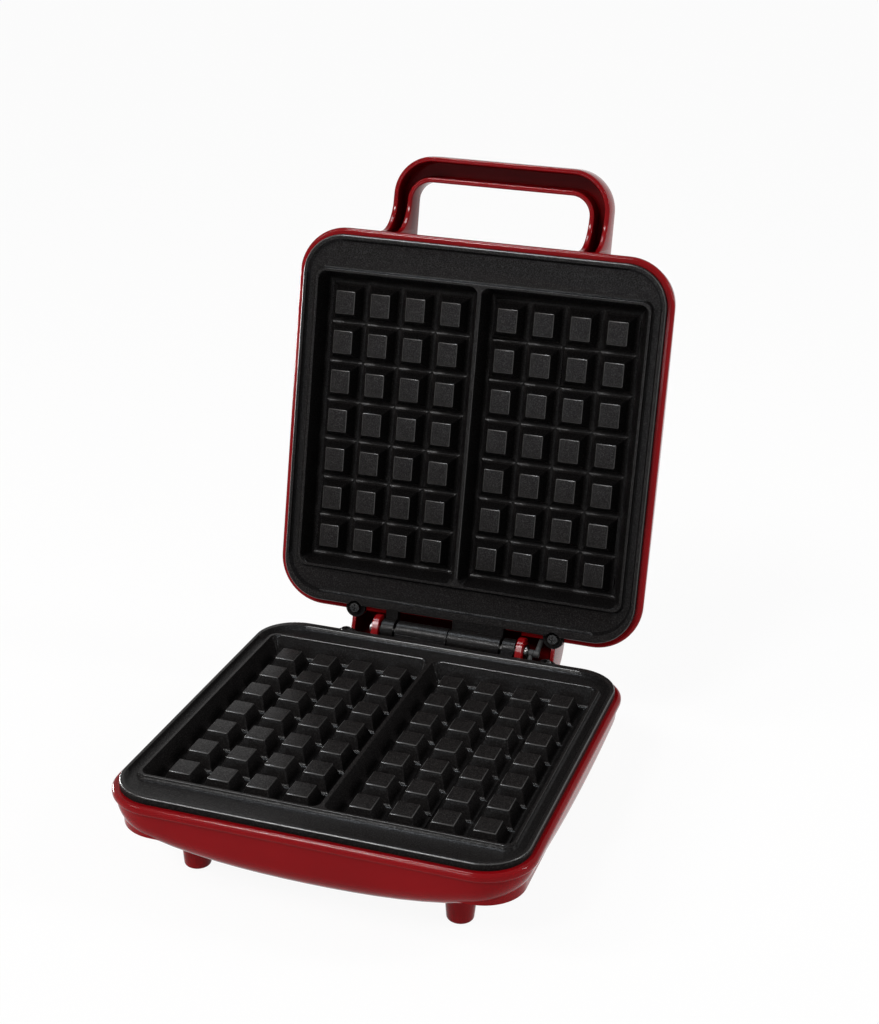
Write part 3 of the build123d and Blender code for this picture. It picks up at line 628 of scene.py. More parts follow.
@dataclass(frozen=True)
class CastCoating(Finish):
    """Sprayed coating on a casting: a fine pebble, pale specks, walls and wells darkened as painted
    shade, and edges lightened by wear and a painted highlight.

    A face is wholly painted shade where its share is 0, plain coating from 0.5, and worn with a
    painted highlight at 1.
    """

    speck: Colour = (0.024, 0.022, 0.021)
    speck_size: float = 0.7
    speck_range: Point2 = (0.46, 0.66)
    speck_cover: float = 0.7
    speck_glitter: Point2 = (-0.02, 0.06)
    plain_light_and_rub: float = 0.5
    # Painted shade: the colour that walls, and partly wells and flats, darken to
    wall: Colour = (0.0035, 0.0033, 0.0034)
    wall_shade_cover: float = 0.8
    # Wear and painted highlight: the lighter colour of the knobs' chamfers
    rubbed_and_highlight: Colour = (0.03, 0.029, 0.028)
    wall_specular: float = 0.03
    rubbed_specular: float = 0.3

    def make(self) -> bpy.types.Material:
        """Makes the material.

        Returns:
            A dark satin with specks that catch the light.
        """
        nodes = self.nodes()
        drift = nodes.noise(self.patch, 4)
        pebble = nodes.noise(self.grain, 4)
        grains = nodes.noise(self.speck_size, 3)
        specks = nodes.span(grains, self.speck_range, (0, self.speck_cover))
        base = nodes.drift(drift, self.colour, self.shade)
        speckled = nodes.mix(specks, base, self.speck)
        light_and_rub = nodes.written(LIGHT_AND_RUB)
        up_to_plain = (0.0, self.plain_light_and_rub)
        # Below plain coating, faces darken towards the wall colour as painted shade
        wall_shade = nodes.span(light_and_rub, up_to_plain, (self.wall_shade_cover, 0))
        shaded = nodes.mix(wall_shade, speckled, self.wall)
        # Above plain coating, the chamfers lighten towards that colour as wear and painted
        # highlight
        on_edge = nodes.span(light_and_rub, (self.plain_light_and_rub, 1), WHOLE)
        nodes.feed(nodes.mix(on_edge, shaded, self.rubbed_and_highlight), "Base Color")
        shine = nodes.span(light_and_rub, up_to_plain, (self.wall_specular, self.specular))
        sheen = nodes.span(on_edge, WHOLE, (0, self.rubbed_specular - self.specular))
        glitter = nodes.span(specks, (0, self.speck_cover), self.speck_glitter)
        nodes.feed(nodes.total(nodes.total(shine, sheen), glitter), "Specular IOR Level")
        nodes.feed(nodes.span(pebble, MOST, self.gloss), "Roughness")
        swell = nodes.bump(drift, self.depth * 2)
        nodes.feed(nodes.bump(pebble, self.depth, swell), "Normal")
        return nodes.material


@dataclass(frozen=True)
class BrushedMetal(Finish):
    """Metal with drawn lines along one axis."""

    metal: float = 1.0
    stretch: Point3 = (0.05, 1.0, 1.0)
    line_range: Point2 = (0.25, 0.75)

    def make(self) -> bpy.types.Material:
        """Makes the material.

        Returns:
            A metal whose grain is drawn out along its length.
        """
        nodes = self.nodes()
        lines = nodes.noise(self.grain, 4, self.stretch)
        drift = nodes.noise(self.patch, 3)
        nodes.feed(nodes.drift(drift, self.colour, self.shade), "Base Color")
        nodes.feed(nodes.span(lines, self.line_range, self.gloss), "Roughness")
        nodes.feed(nodes.bump(lines, self.depth), "Normal")
        return nodes.material


@dataclass(frozen=True)
class ClearMoulding(Finish):
    """Tinted clear plastic or glass that light goes through."""

    clear: float = 0.85
    bend: float = 1.49

    def nodes(self) -> Nodes:
        """Starts the material, clear all over.

        Returns:
            Its nodes.
        """
        nodes = super().nodes()
        nodes.fix(Transmission_Weight=self.clear, IOR=self.bend)
        return nodes


FINISHES: tuple[Finish, ...] = (
    GlossPlastic(
        "red_shell", (0.19, 0.0024, 0.0042), (0.168, 0.002, 0.0036), (0.1, 0.17), 0.35, 0.0012,
        patch=40.0, specular=0.055,
    ),
    CastCoating(
        "non_stick", (0.005, 0.0044, 0.0045), (0.0074, 0.0066, 0.0066), (0.24, 0.38), 0.45, 0.05,
        patch=26.0, specular=0.075,
    ),
    BrushedMetal(
        "screw_steel", (0.07, 0.068, 0.066), (0.035, 0.035, 0.036), (0.2, 0.38), 0.3, 0.003, 3.0
    ),
    BrushedMetal(
        "pin_steel", (0.5, 0.49, 0.47), (0.36, 0.35, 0.34), (0.2, 0.36), 0.25, 0.002, 4.0
    ),
    BrushedMetal(
        "element_sheath", (0.2, 0.18, 0.16), (0.09, 0.07, 0.06), (0.42, 0.6), 0.4, 0.006, 14.0, 0.9
    ),
    BrushedMetal(
        "sheet_steel", (0.52, 0.51, 0.49), (0.4, 0.39, 0.38), (0.26, 0.42), 0.3, 0.003, 9.0
    ),
    BrushedMetal(
        "shield_aluminium", (0.72, 0.72, 0.71), (0.6, 0.6, 0.6), (0.3, 0.45), 0.5, 0.003, 30.0
    ),
    Finish("white_ceramic", (0.72, 0.7, 0.65), (0.62, 0.6, 0.55), (0.35, 0.55), 0.4, 0.012, 5.0),
    Finish(
        "black_rubber", (0.012, 0.012, 0.012), (0.02, 0.02, 0.02), (0.6, 0.8), 0.3, 0.015, 7.0,
        specular=0.3,
    ),
    Finish("wire_sleeve", (0.62, 0.6, 0.55), (0.5, 0.48, 0.44), (0.45, 0.62), 0.35, 0.02, 6.0),
    ClearMoulding(
        "red_lens", (0.75, 0.02, 0.015), (0.6, 0.015, 0.01), (0.05, 0.12), 0.6, 0.003, 4.0
    ),
    ClearMoulding(
        "green_lens", (0.04, 0.55, 0.12), (0.03, 0.42, 0.09), (0.05, 0.12), 0.6, 0.003, 4.0
    ),
    ClearMoulding("lamp_glass", (0.9, 0.86, 0.8), (0.8, 0.76, 0.7), (0.03, 0.08), 0.8, 0.002, 3.0),
    Finish(
        "black_nylon", (0.018, 0.018, 0.019), (0.028, 0.028, 0.028), (0.45, 0.62), 0.4, 0.01, 6.0
    ),
)


class Wardrobe:
    """Makes each finish once and dresses pieces in it."""

    def __init__(self, finishes: Sequence[Finish]) -> None:
        """Makes the materials of all the finishes."""
        self.materials = {finish.slot: finish.make() for finish in finishes}

    def dress(self, pieces: Sequence[Piece], slot: str, half: Half) -> None:
        """Gives pieces of one half a finish all over and lets them ride on the half's body.

        Args:
            pieces: The pieces.
            slot: The finish's slot in the record.
            half: The half that they belong to.
        """
        for piece in pieces:
            piece.data.materials.clear()
            piece.data.materials.append(self.materials[slot])
            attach(piece, half.value)

    def dress_node(self, node: Piece) -> None:
        """Changes the plain finishes of a solid to the detailed ones of the same names."""
        for place in node.material_slots:
            place.material = self.materials[place.material.name.split(".")[0]]


@dataclass
class Shell:
    """The red tub of one half: a bead round its edge, drafted walls and a crowned, rounded back."""

    half: Half
    crown_z: float
    crown_r: float
    web_z: float
    width: float = 239.0
    length: float = 242.4
    corner: float = 30.0
    ledge: float = 7.3
    rim_top: float = 53.4
    rim_bottom: float = 48.5
    flat: float = 3.6
    top_round: float = 2.2
    bottom_round: float = 1.5
    step: float = 2.0
    step_z: float = 49.0
    draft_deg: float = 4.0
    edge: float = 15.0
    side_edge: float = 15.0
    upturn: float = 0.0
    upturn_x: float = 100.0
    upturn_y: Point2 = (-60.0, 140.0)
    wall: float = 2.8
    webs: tuple[Point2, ...] = ((-34.6, 0.2), (35.4, 44.6))
    tab_r: float = 7.0
    above: float = 60.0
    slope_rise: float = 18.0
    slope_run: float = 15.0
    corner_steps: int = 16
    side_steps: int = 14
    round_steps: int = 14
    crown_rings: tuple[float, ...] = (0.92, 0.8, 0.66, 0.52, 0.38, 0.24, 0.1)
    floor_rings: tuple[float, ...] = (1.0, 0.66, 0.33)

    def outline(self) -> Walk:
        """Walks round the widest outline.

        Returns:
            Each point with the direction that faces out from it.
        """
        walk = []
        in_x = self.width / 2 - self.corner
        in_y = self.length / 2 - self.corner
        corners = ((in_x, in_y), (-in_x, in_y), (-in_x, -in_y), (in_x, -in_y))
        for k, (x, y) in enumerate(corners):
            for i in range(self.corner_steps + 1):
                turn = math.radians(90 * (k + i / self.corner_steps))
                out = Vector((math.cos(turn), math.sin(turn)))
                walk.append((Vector((x, y)) + self.corner * out, out))
            ahead = corners[(k + 1) % 4]
            turn = math.radians(90 * (k + 1))
            out = Vector((math.cos(turn), math.sin(turn)))
            for i in range(1, self.side_steps):
                middle = Vector((x, y)).lerp(Vector(ahead), i / self.side_steps)
                walk.append((middle + self.corner * out, out))
        return walk

    def wall_inset(self, z: float) -> float:
        """How far the outside of the wall lies inside the widest outline at a height."""
        return self.step + (self.step_z - z) * math.tan(math.radians(self.draft_deg))

    def crown(self, x: float, y: float, lift: float = 0.0) -> float:
        """Height of the crowned back at a place, which turns up more towards its front corners.

        Args:
            x: The place's distance from the middle.
            y: Its depth.
            lift: How far above the back a surface lies whose height is wanted instead.

        Returns:
            The height.
        """
        radius = self.crown_r - lift
        bend = self.upturn * self.towards_front(y) * (x / self.upturn_x)**4
        return self.crown_z + self.crown_r - math.sqrt(radius**2 - x**2 - y**2) + bend

    def towards_front(self, y: float) -> float:
        """Share of the upturn at a depth, from 1 in the front quarter to nearly 0 at the hinge."""
        full, none = self.upturn_y
        return min(max((none - y) / (none - full), 0.0), 1.0)

    def rounding(self, point: Vector, out: Vector) -> tuple[Point2, float, float]:
        """Finds the round between wall and back at one place of the outline.

        Args:
            point: The place.
            out: The direction that faces out from it.

        Returns:
            The round's centre as (distance outwards, height), the angle where it meets the back,
            and its radius.
        """
        draft = math.radians(self.draft_deg)
        tan, cos = math.tan(draft), math.cos(draft)
        sideways = self.towards_front(point.y) * out.x**2
        radius = self.edge + (self.side_edge - self.edge) * sideways
        # The back isn't straight, so the place where the round meets it is found step by step
        reach, step = -20.0, 0.1
        for _ in range(12):
            foot = point + out * reach
            ahead = foot + out * step
            height = self.crown(foot.x, foot.y)
            slope = (self.crown(ahead.x, ahead.y) - height) / step
            rise = height - slope * reach + radius * math.hypot(1, slope)
            wall = -self.step - self.step_z * tan - radius / cos
            centre = (wall + tan * rise) / (1 - tan * slope)
            reach = centre + radius * slope / math.hypot(1, slope)
        return (centre, rise + slope * centre), -90 + math.degrees(math.atan(slope)), radius

    def build(self) -> Piece:
        """Builds the tub.

        Returns:
            The closed tub without its cuts.
        """
        walk = self.outline()
        skin = Skin()
        top_r, low_r = self.top_round, self.bottom_round
        profile = [
            (-self.ledge, self.rim_top),
            (-self.flat, self.rim_top),
            *arc((-top_r, self.rim_top - top_r), top_r, 90, 0, 6),
            *arc((-low_r, self.rim_bottom + low_r), low_r, 0, -90, 5),
            (-self.wall_inset(self.rim_bottom), self.rim_bottom),
        ]
        rows = [skin.ring([(*(p + n * u), z) for p, n in walk]) for u, z in profile]
        rounds = [self.rounding(p, n) for p, n in walk]
        for i in range(self.round_steps + 1):
            row = []
            for (p, n), (centre, end, radius) in zip(walk, rounds):
                share = i / self.round_steps
                turn = math.radians(-self.draft_deg + (end + self.draft_deg) * share)
                u = centre[0] + radius * math.cos(turn)
                row.append((*(p + n * u), centre[1] + radius * math.sin(turn)))
            rows.append(skin.ring(row))
        last = [Vector(skin.points[i]) for i in rows[-1]]
        self.close(skin, rows, last, self.crown_rings)
        self.hollow(skin, walk, rows[0])
        return skin.piece(f"{self.half.value}_shell", self.half, 32)

    def close(self, skin: Skin, rows: list[list[int]], foot: Sequence[Vector],
              shares: Sequence[float], lift: float = 0.0) -> None:
        """Joins rings and closes the last of them with a crowned surface.

        Args:
            skin: The skin that it is added to.
            rows: The numbers of the rings' points.
            foot: The outline of the crowned surface.
            shares: The sizes of the rings on it, as shares of that outline.
            lift: How far above the back it lies.
        """
        for share in shares:
            spots = [(v.x * share, v.y * share) for v in foot]
            rows.append(skin.ring([(x, y, self.crown(x, y, lift)) for x, y in spots]))
        skin.bridge(rows)
        skin.fan(rows[-1], (0, 0, self.crown(0, 0, lift)))

    def hollow(self, skin: Skin, walk: Walk, mouth: list[int]) -> None:
        """Adds the inside of the tub.

        Args:
            skin: The skin that it is added to.
            walk: The widest outline.
            mouth: The numbers of the points round the opening.
        """
        under = self.rim_top - self.wall
        slope_z = self.crown_z + self.wall + self.slope_rise
        levels = [
            (self.ledge, under),
            (self.wall_inset(under) + self.wall, under),
            (self.wall_inset(slope_z) + self.wall, slope_z),
        ]
        rows = [mouth] + [skin.ring([(*(p - n * d), z) for p, n in walk]) for d, z in levels]
        foot = [p - n * (levels[-1][0] + self.slope_run) for p, n in walk]
        self.close(skin, rows, foot, self.floor_rings, self.wall)

    def seat_tools(self) -> list[Piece]:
        """Makes the forms that are cut from the edge for the plate's hinge webs and screw tabs.

        Returns:
            The cutting tools.
        """
        webs = [(rectangle(across, (111.2, 123.2)), self.web_z) for across in self.webs]
        gap = (rectangle((-45.0, 45.0), (118.4, 123.6)), self.rim_bottom - 1)
        tabs = [(tab_outline(x, self.tab_r), TAB_SEAT_Z) for x in (-SCREW_X, SCREW_X)]
        tools = []
        for outline, low in (*webs, gap, *tabs):
            tools.append(slab(outline, low, self.above, Axis.Z, self.half, "seat_tool"))
        return tools


@dataclass
class BaseHalf:
    """The lower half: its shell with pin ears, hood stops, screw bosses and feet."""

    shell: Shell = field(
        default_factory=lambda: Shell(Half.BASE, 11.0, 700.0, 50.1, side_edge=19.0, upturn=4.8)
    )
    bush_at: Point3 = (-82.0, 95.0, 38.0)
    bush_r: float = 5.1
    ear_x: Point2 = (45.2, 49.7)
    ear_r: float = 9.0
    ear_y: float = 117.4
    ear_z: Point2 = (43.7, 52.7)
    stop_x: Point2 = (27.0, 33.0)
    stop_y: Point2 = (117.5, 119.58)
    stop_z: Point2 = (36.0, 41.0)
    foot_x: float = 76.2
    foot_y: Point2 = (-83.6, 96.0)
    foot_tip: float = 7.6
    foot_top: float = 10.2
    foot_round: float = 2.0
    foot_z: Point2 = (0.8, 31.2)
    foot_high: float = 26.0
    pad_hole_r: float = 5.1
    pad_hole_z: float = 2.6

    def build(self, wardrobe: Wardrobe) -> None:
        """Builds and dresses the half's red pieces.

        Args:
            wardrobe: Where the finishes come from.
        """
        shell = cut(self.shell.build(), [*self.shell.seat_tools(), self.bush_tool()])
        ears = [self.ear(x) for x in (-self.ear_x[1], self.ear_x[0])]
        fittings = [*ears, *self.stops(), *screw_bosses(Half.BASE)]
        feet = [self.foot(x, y) for x in (-self.foot_x, self.foot_x) for y in self.foot_y]
        wardrobe.dress([shell, *fittings, *feet], "red_shell", Half.BASE)
        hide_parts("base_housing")
        for foot in feet:
            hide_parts("feet")

    def bush_tool(self) -> Piece:
        """Makes the form that is cut from the back wall for the cord's bush.

        Returns:
            The cutting tool.
        """
        profile = [(0, -1), (self.bush_r, -1), (self.bush_r, 40), (0, 40)]
        tool = turned(profile, (0, 0), Half.BASE, "bush_tool")
        lie = Matrix.Rotation(-math.pi / 2, 4, "X")
        tool.data.transform(Matrix.Translation(Vector(self.bush_at) * MM) @ lie)
        return tool

    def ear(self, x: float) -> Piece:
        """Builds one ear that carries the end of the pin.

        Args:
            x: Where it starts.

        Returns:
            The ear.
        """
        low, high = self.ear_z
        bow = arc((HINGE.y, HINGE.z), self.ear_r, -68, 128, 30)
        outline = [(self.ear_y, low), (self.ear_y + 1, low), *bow, (self.ear_y, high)]
        end = x + self.ear_x[1] - self.ear_x[0]
        name = f"pin_ear_{'left' if x < 0 else 'right'}"
        return soften(slab(outline, x, end, Axis.X, Half.BASE, name), 0.5, 2, 40)

    def stops(self) -> list[Piece]:
        """Builds the two stops on the back wall that the hood rests against.

        Returns:
            The two stops.
        """
        near, far = self.stop_x
        outline = rectangle(self.stop_y, self.stop_z)
        built = []
        for side, low, high in (("left", -far, -near), ("right", near, far)):
            piece = slab(outline, low, high, Axis.X, Half.BASE, f"hood_stop_{side}")
            built.append(soften(piece, 0.4))
        return built

    def foot(self, x: float, y: float) -> Piece:
        """Builds one tapered foot with its recess for the rubber pad.

        Args:
            x: Where it stands, across.
            y: Where it stands, in depth.

        Returns:
            The foot.
        """
        z0, z1 = self.foot_z
        lean = (self.foot_top - self.foot_tip) / (z1 - z0)
        radius, hole, ease = self.foot_round, self.pad_hole_r, 0.15
        profile = [
            (0, self.pad_hole_z),
            (hole, self.pad_hole_z),
            (hole, z0 + ease),
            (hole + ease, z0),
            *arc((self.foot_tip - radius, z0 + radius), radius, -90, 0, 6),
            (self.foot_tip + lean * (self.foot_high - z0), self.foot_high),
            (0, self.foot_high),
        ]
        name = f"foot_{'left' if x < 0 else 'right'}_{'front' if y < 0 else 'rear'}"
        return turned(profile, (x, y), Half.BASE, name, 64)


def screw_bosses(half: Half) -> list[Piece]:
    """Builds the two bosses that a half's screw tabs sit on.

    Args:
        half: The half that they belong to.

    Returns:
        The two bosses.
    """
    radius, height = 6.8, 7.0
    built = []
    for side, x in (("left", -SCREW_X), ("right", SCREW_X)):
        name = f"{half.value}_screw_boss_{side}"
        outline = tab_outline(x, radius)
        piece = slab(outline, TAB_SEAT_Z - height, TAB_SEAT_Z, Axis.Z, half, name)
        built.append(soften(piece, 0.4))
    return built


@dataclass
class LidHalf:
    """The upper half: its shell, the loop handle and the hood over the hinge."""

    shell: Shell = field(default_factory=lambda: Shell(Half.LID, 7.6, 900.0, 52.5))
    lens_at: Point2 = (9.0, -88.0)
    lens_hole: float = 4.6
    lens_z: Point2 = (6.0, 22.0)

    def build(self, wardrobe: Wardrobe) -> None:
        """Builds and dresses the half's red pieces.

        Args:
            wardrobe: Where the finishes come from.
        """
        shell = cut(self.shell.build(), [*self.shell.seat_tools(), *self.lens_tools()])
        pieces = [shell, Handle().build(), Hood().build(), *screw_bosses(Half.LID)]
        wardrobe.dress(pieces, "red_shell", Half.LID)
        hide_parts("lid_housing")

    def lens_tools(self) -> list[Piece]:
        """Makes the forms that are cut from the back for the two lights.

        Returns:
            The cutting tools.
        """
        x, y = self.lens_at
        low, high = self.lens_z
        profile = [(0, low), (self.lens_hole, low), (self.lens_hole, high), (0, high)]
        return [turned(profile, spot, Half.LID, "lens_tool") for spot in ((-x, y), (x, y))]


@dataclass
class Handle:
    """The loop handle: a U with a channel section, open towards the plate, deeper at its roots."""

    width: float = 138.6
    front: float = -168.5
    bar: float = 15.9
    leg: float = 12.3
    outer_r: float = 25.0
    inner_r: float = 12.0
    bend_steps: int = 18
    low: float = 10.1
    high: float = 28.6
    wall: float = 3.0
    edge: float = 3.0
    ease: float = 0.8
    rim_y: float = -121.2
    sweep_r: float = 20.0
    sweep_y: tuple[float, ...] = (-117.6, -121.2, -121.4, -121.9, -122.7, -124.0, -126.0, -129.0,
                                  -133.0, -137.0)
    roots: tuple[Point2, ...] = ((-92.0, 17.0), (-105.0, 13.4), (-116.9, 10.1))
    # Share of painted shade on the channel's inner faces
    inner_shade: float = 0.7

    def stations(self) -> list[tuple[Point2, Point2, float, float]]:
        """Walks along the right half of the loop, from the root to the middle of the bar.

        Returns:
            At each station the outer point, the inner point and the heights of underside and edges.
        """
        out_x, in_x = self.width / 2, self.width / 2 - self.leg
        in_y = self.front + self.bar
        walk = [((out_x, y), (in_x, y), low, self.high) for y, low in self.roots]
        for y in self.sweep_y:
            ahead = min((y - self.rim_y) / self.sweep_r + 1, 1.0)
            rise = self.sweep_r * (1 - math.sqrt(1 - ahead**2))
            walk.append(((out_x, y), (in_x, y), self.low, self.high + rise))
        wide, tight, steps = self.outer_r, self.inner_r, self.bend_steps
        outer = arc((out_x - wide, self.front + wide), wide, 0, -90, steps)
        inner = arc((in_x - tight, in_y + tight), tight, 0, -90, steps)
        walk += [(a, b, self.low, self.high) for a, b in zip(outer, inner)]
        return walk + [((0.0, self.front), (0.0, in_y), self.low, self.high)]

    def section(self, outer: Point2, inner: Point2, low: float, high: float) -> list[Point3]:
        """Draws the channel section at one station.

        Args:
            outer: The section's outer point.
            inner: Its inner point.
            low: Height of its underside.
            high: Height of its two edges.

        Returns:
            The section's points, once round.
        """
        across = Vector(inner) - Vector(outer)
        span = across.length
        unit = across / span
        floor, tip = low + self.wall, high - self.ease
        half = [
            (self.wall, floor + 1),
            *arc((self.wall - self.ease, tip), self.ease, 0, 90, 3),
            *arc((self.ease, tip), self.ease, 90, 180, 3),
            *arc((self.edge, low + self.edge), self.edge, 180, 270, 5),
        ]
        other = [(span - s, z) for s, z in reversed(half)]
        inside = [(span - self.wall - 1, floor), (self.wall + 1, floor)]
        whole = [*half, *other, *inside]
        return [(outer[0] + unit.x * s, outer[1] + unit.y * s, z) for s, z in whole]

    def build(self) -> Piece:
        """Builds the loop.

        Returns:
            The loop, with its ends in the lid.
        """
        right = self.stations()
        left = [((-o[0], o[1]), (-i[0], i[1]), *heights) for o, i, *heights in reversed(right[:-1])]
        skin = Skin()
        rows = [skin.ring(self.section(*place)) for place in right + left]
        skin.tube(rows)
        loop = skin.piece("handle_loop", Half.LID, 40)
        # The channel's five inner faces are the last four of each band and its first; they get
        # painted shade
        around, inner = len(rows[0]), 5
        shares = loop.data.attributes.new(INSIDE_SHADE, "FLOAT", "FACE")
        for index in range(around * (len(rows) - 1)):
            is_inner = (index + inner - 1) % around < inner
            shares.data[index].value = self.inner_shade if is_inner else 0.0
        return loop


@dataclass
class Hood:
    """The open cover behind the lid that goes over the hinge."""

    half_width: float = 67.5
    wall: float = 2.5
    rear: float = 147.5
    low: float = 25.9
    round_r: float = 22.0
    side_round: float = 3.0
    back_steps: int = 18
    side_steps: int = 5
    front: float = 113.0
    edge_z: Point2 = (65.9, 53.4)
    edge: tuple[Point2, ...] = ((141.0, 57.9), (131.0, 54.9), (121.0, 53.4))
    space_top: float = 75.0
    opening: float = 6.0

    def profile(self, inset: float) -> list[Point2]:
        """Draws the bottom and the curved back of the hood, or of the space inside it.

        Args:
            inset: How far it lies inside the hood's own.

        Returns:
            Points in (y, z).
        """
        low, rear = self.low + inset, self.rear - inset
        radius = self.round_r - inset
        curve = arc((rear - radius, low + radius), radius, -90, 0, self.back_steps)
        return [(self.front, low), *curve]

    def build(self) -> Piece:
        """Builds the hood.

        Returns:
            The hollow hood.
        """
        rear_z, front_z = self.edge_z
        edge = [(self.rear, rear_z), *self.edge, (self.front, front_z)]
        solid = self.rounded([*self.profile(0), *edge])
        top = self.space_top
        space = [*self.profile(self.wall), (self.rear - self.wall, top), (self.front, top)]
        # The space runs out through the open front
        space = [(y - self.opening, z) for y, z in space]
        reach = self.half_width - self.wall
        hood = cut(solid, [slab(space, -reach, reach, Axis.X, Half.LID, "space")])
        hood.name = "hinge_hood"
        # The faces inside the hood get painted shade
        mark(hood, Half.LID, INSIDE_SHADE, self.shade_within)
        return soften(hood, 0.5, 2, 50)

    def shade_within(self, middle: Vector, normal: Vector) -> float:
        """Tells a face of the space inside the hood, 1 and painted as shade, from one outside, 0.

        Args:
            middle: The face's middle.
            normal: Its normal.

        Returns:
            1 or 0.
        """
        ease = self.wall - 0.2
        beside = abs(middle.x) > self.half_width - ease
        if beside or middle.y > self.rear - ease or middle.z < self.low + ease:
            return 0.0
        bend = Vector((middle.y - self.rear + self.round_r, middle.z - self.low - self.round_r))
        outside = bend.x > 0 > bend.y and bend.length > self.round_r - ease
        on_edge = abs(normal.z) > 0.95 and middle.z > self.low + 20
        return 0.0 if outside or on_edge else 1.0

    def rounded(self, outline: Sequence[Point2]) -> Piece:
        """Gives the side view its width, with rounded edges along its bottom and back.

        Args:
            outline: The side view in (y, z).

        Returns:
            The solid hood.
        """
        # The ways out of the side view, along its bottom, curved back and rear
        ways = [(0.0, -1.0), *arc((0.0, 0.0), 1.0, -90, 0, self.back_steps), (1.0, 0.0)]
        ways += [(0.0, 0.0)] * (len(outline) - len(ways))
        skin = Skin()
        ends = []
        for side in (-1, 1):
            rings = []
            for i in range(self.side_steps + 1):
                turn = math.radians(90 * i / self.side_steps)
                x = side * (self.half_width - self.side_round * (1 - math.sin(turn)))
                drop = self.side_round * (1 - math.cos(turn))
                places = [(x, y - drop * a, z - drop * b) for (y, z), (a, b) in zip(outline, ways)]
                rings.append(skin.ring(places))
            ends.append(rings)
        skin.tube([*reversed(ends[0]), *ends[1]])
        return skin.piece("hood_solid", Half.LID, 32)


@dataclass
class GridPlate:
    """One cast grid plate: the solid's own form, its edges rounded by casting and coating."""

    node: str
    half: Half
    well_floor: float = 45.4
    knob_top: float = 55.0
    root_round: float = 1.8
    corner_round: float = 0.7
    edge_round: float = 0.45
    from_deg: float = 24.0
    sharp_deg: float = 60.0
    flat_deg: float = 1.2
    joined_from: float = 0.002
    # Painted light and wear by kind of face: 0 painted shade, 0.5 plain, 1 wear and painted
    # highlight
    wall_light_and_rub: float = 0.0
    knuckle_light_and_rub: float = 0.2
    chamfer_light_and_rub: float = 1.0
    knob_light_and_rub: float = 0.5
    well_light_and_rub: float = 0.25
    flat_light_and_rub: float = 0.32
    knuckles_from: float = 118.0

    def build(self, wardrobe: Wardrobe, nodes: dict[str, Piece]) -> None:
        """Builds and dresses the plate.

        Args:
            wardrobe: Where the finishes come from.
            nodes: The solids of the frame by name.
        """
        mesh = nodes[self.node].data.copy()
        piece = linked(f"{self.half.value}_grid_plate", mesh)
        work = bmesh.new()
        work.from_mesh(mesh)
        bmesh.ops.remove_doubles(work, verts=work.verts, dist=self.joined_from * MM)
        flat = math.radians(self.flat_deg)
        bmesh.ops.dissolve_limit(work, angle_limit=flat, verts=work.verts, edges=work.edges)
        self.weigh_edges(work)
        work.to_mesh(mesh)
        work.free()
        shade_smooth(mesh, self.sharp_deg)
        change = soften(piece, self.root_round, 3).modifiers["soften"]
        change.limit_method = "WEIGHT"
        change.use_clamp_overlap = False
        settle(piece, self.sharp_deg)
        mark(piece, self.half, LIGHT_AND_RUB, self.light_and_rub)
        even = piece.modifiers.new("even_shading", "WEIGHTED_NORMAL")
        even.keep_sharp = True
        wardrobe.dress([piece], "non_stick", self.half)
        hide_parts(self.node)

    def light_and_rub(self, middle: Vector, normal: Vector) -> float:
        """Painted light and wear: shade on walls, less on flats, wear and highlight on knob edges.

        Args:
            middle: The face's middle.
            normal: Its normal.

        Returns:
            The share, from 0 to 1.
        """
        if middle.y > self.knuckles_from:
            return self.knuckle_light_and_rub
        if middle.z > self.knob_top - 0.6 and 0.55 < normal.z < 0.9:
            return self.chamfer_light_and_rub
        if normal.z < 0.5:
            return self.wall_light_and_rub
        if middle.z > self.knob_top - 0.3:
            return self.knob_light_and_rub
        return self.well_light_and_rub if middle.z < self.well_floor + 1 else self.flat_light_and_rub

    def weigh_edges(self, work: bmesh.types.BMesh) -> None:
        """Says how much each edge of the plate is rounded, as a share of the widest round.

        That goes round the floor of the wells. The knobs' upright corners get a narrower one, and
        the long edges above the knobs the narrowest.

        Args:
            work: The plate's mesh, in the frame.
        """
        weight = work.edges.layers.float.new("bevel_weight_edge")
        back = HINGE.placement(self.half).inverted()
        for edge in work.edges:
            if len(edge.link_faces) != 2 or edge.calc_face_angle() < math.radians(self.from_deg):
                continue
            heights = [(back @ v.co).z for v in edge.verts]
            length = edge.calc_length() / MM
            on_floor = max(abs(z - self.well_floor) for z in heights) < 0.05
            upright = abs(heights[0] - heights[1]) > 6
            if on_floor and not edge.is_convex:
                edge[weight] = 1.0
            elif upright and edge.is_convex and length < 12:
                edge[weight] = self.corner_round / self.root_round
            elif min(heights) > self.knob_top + 0.1 and length > 2.5:
                edge[weight] = self.edge_round / self.root_round


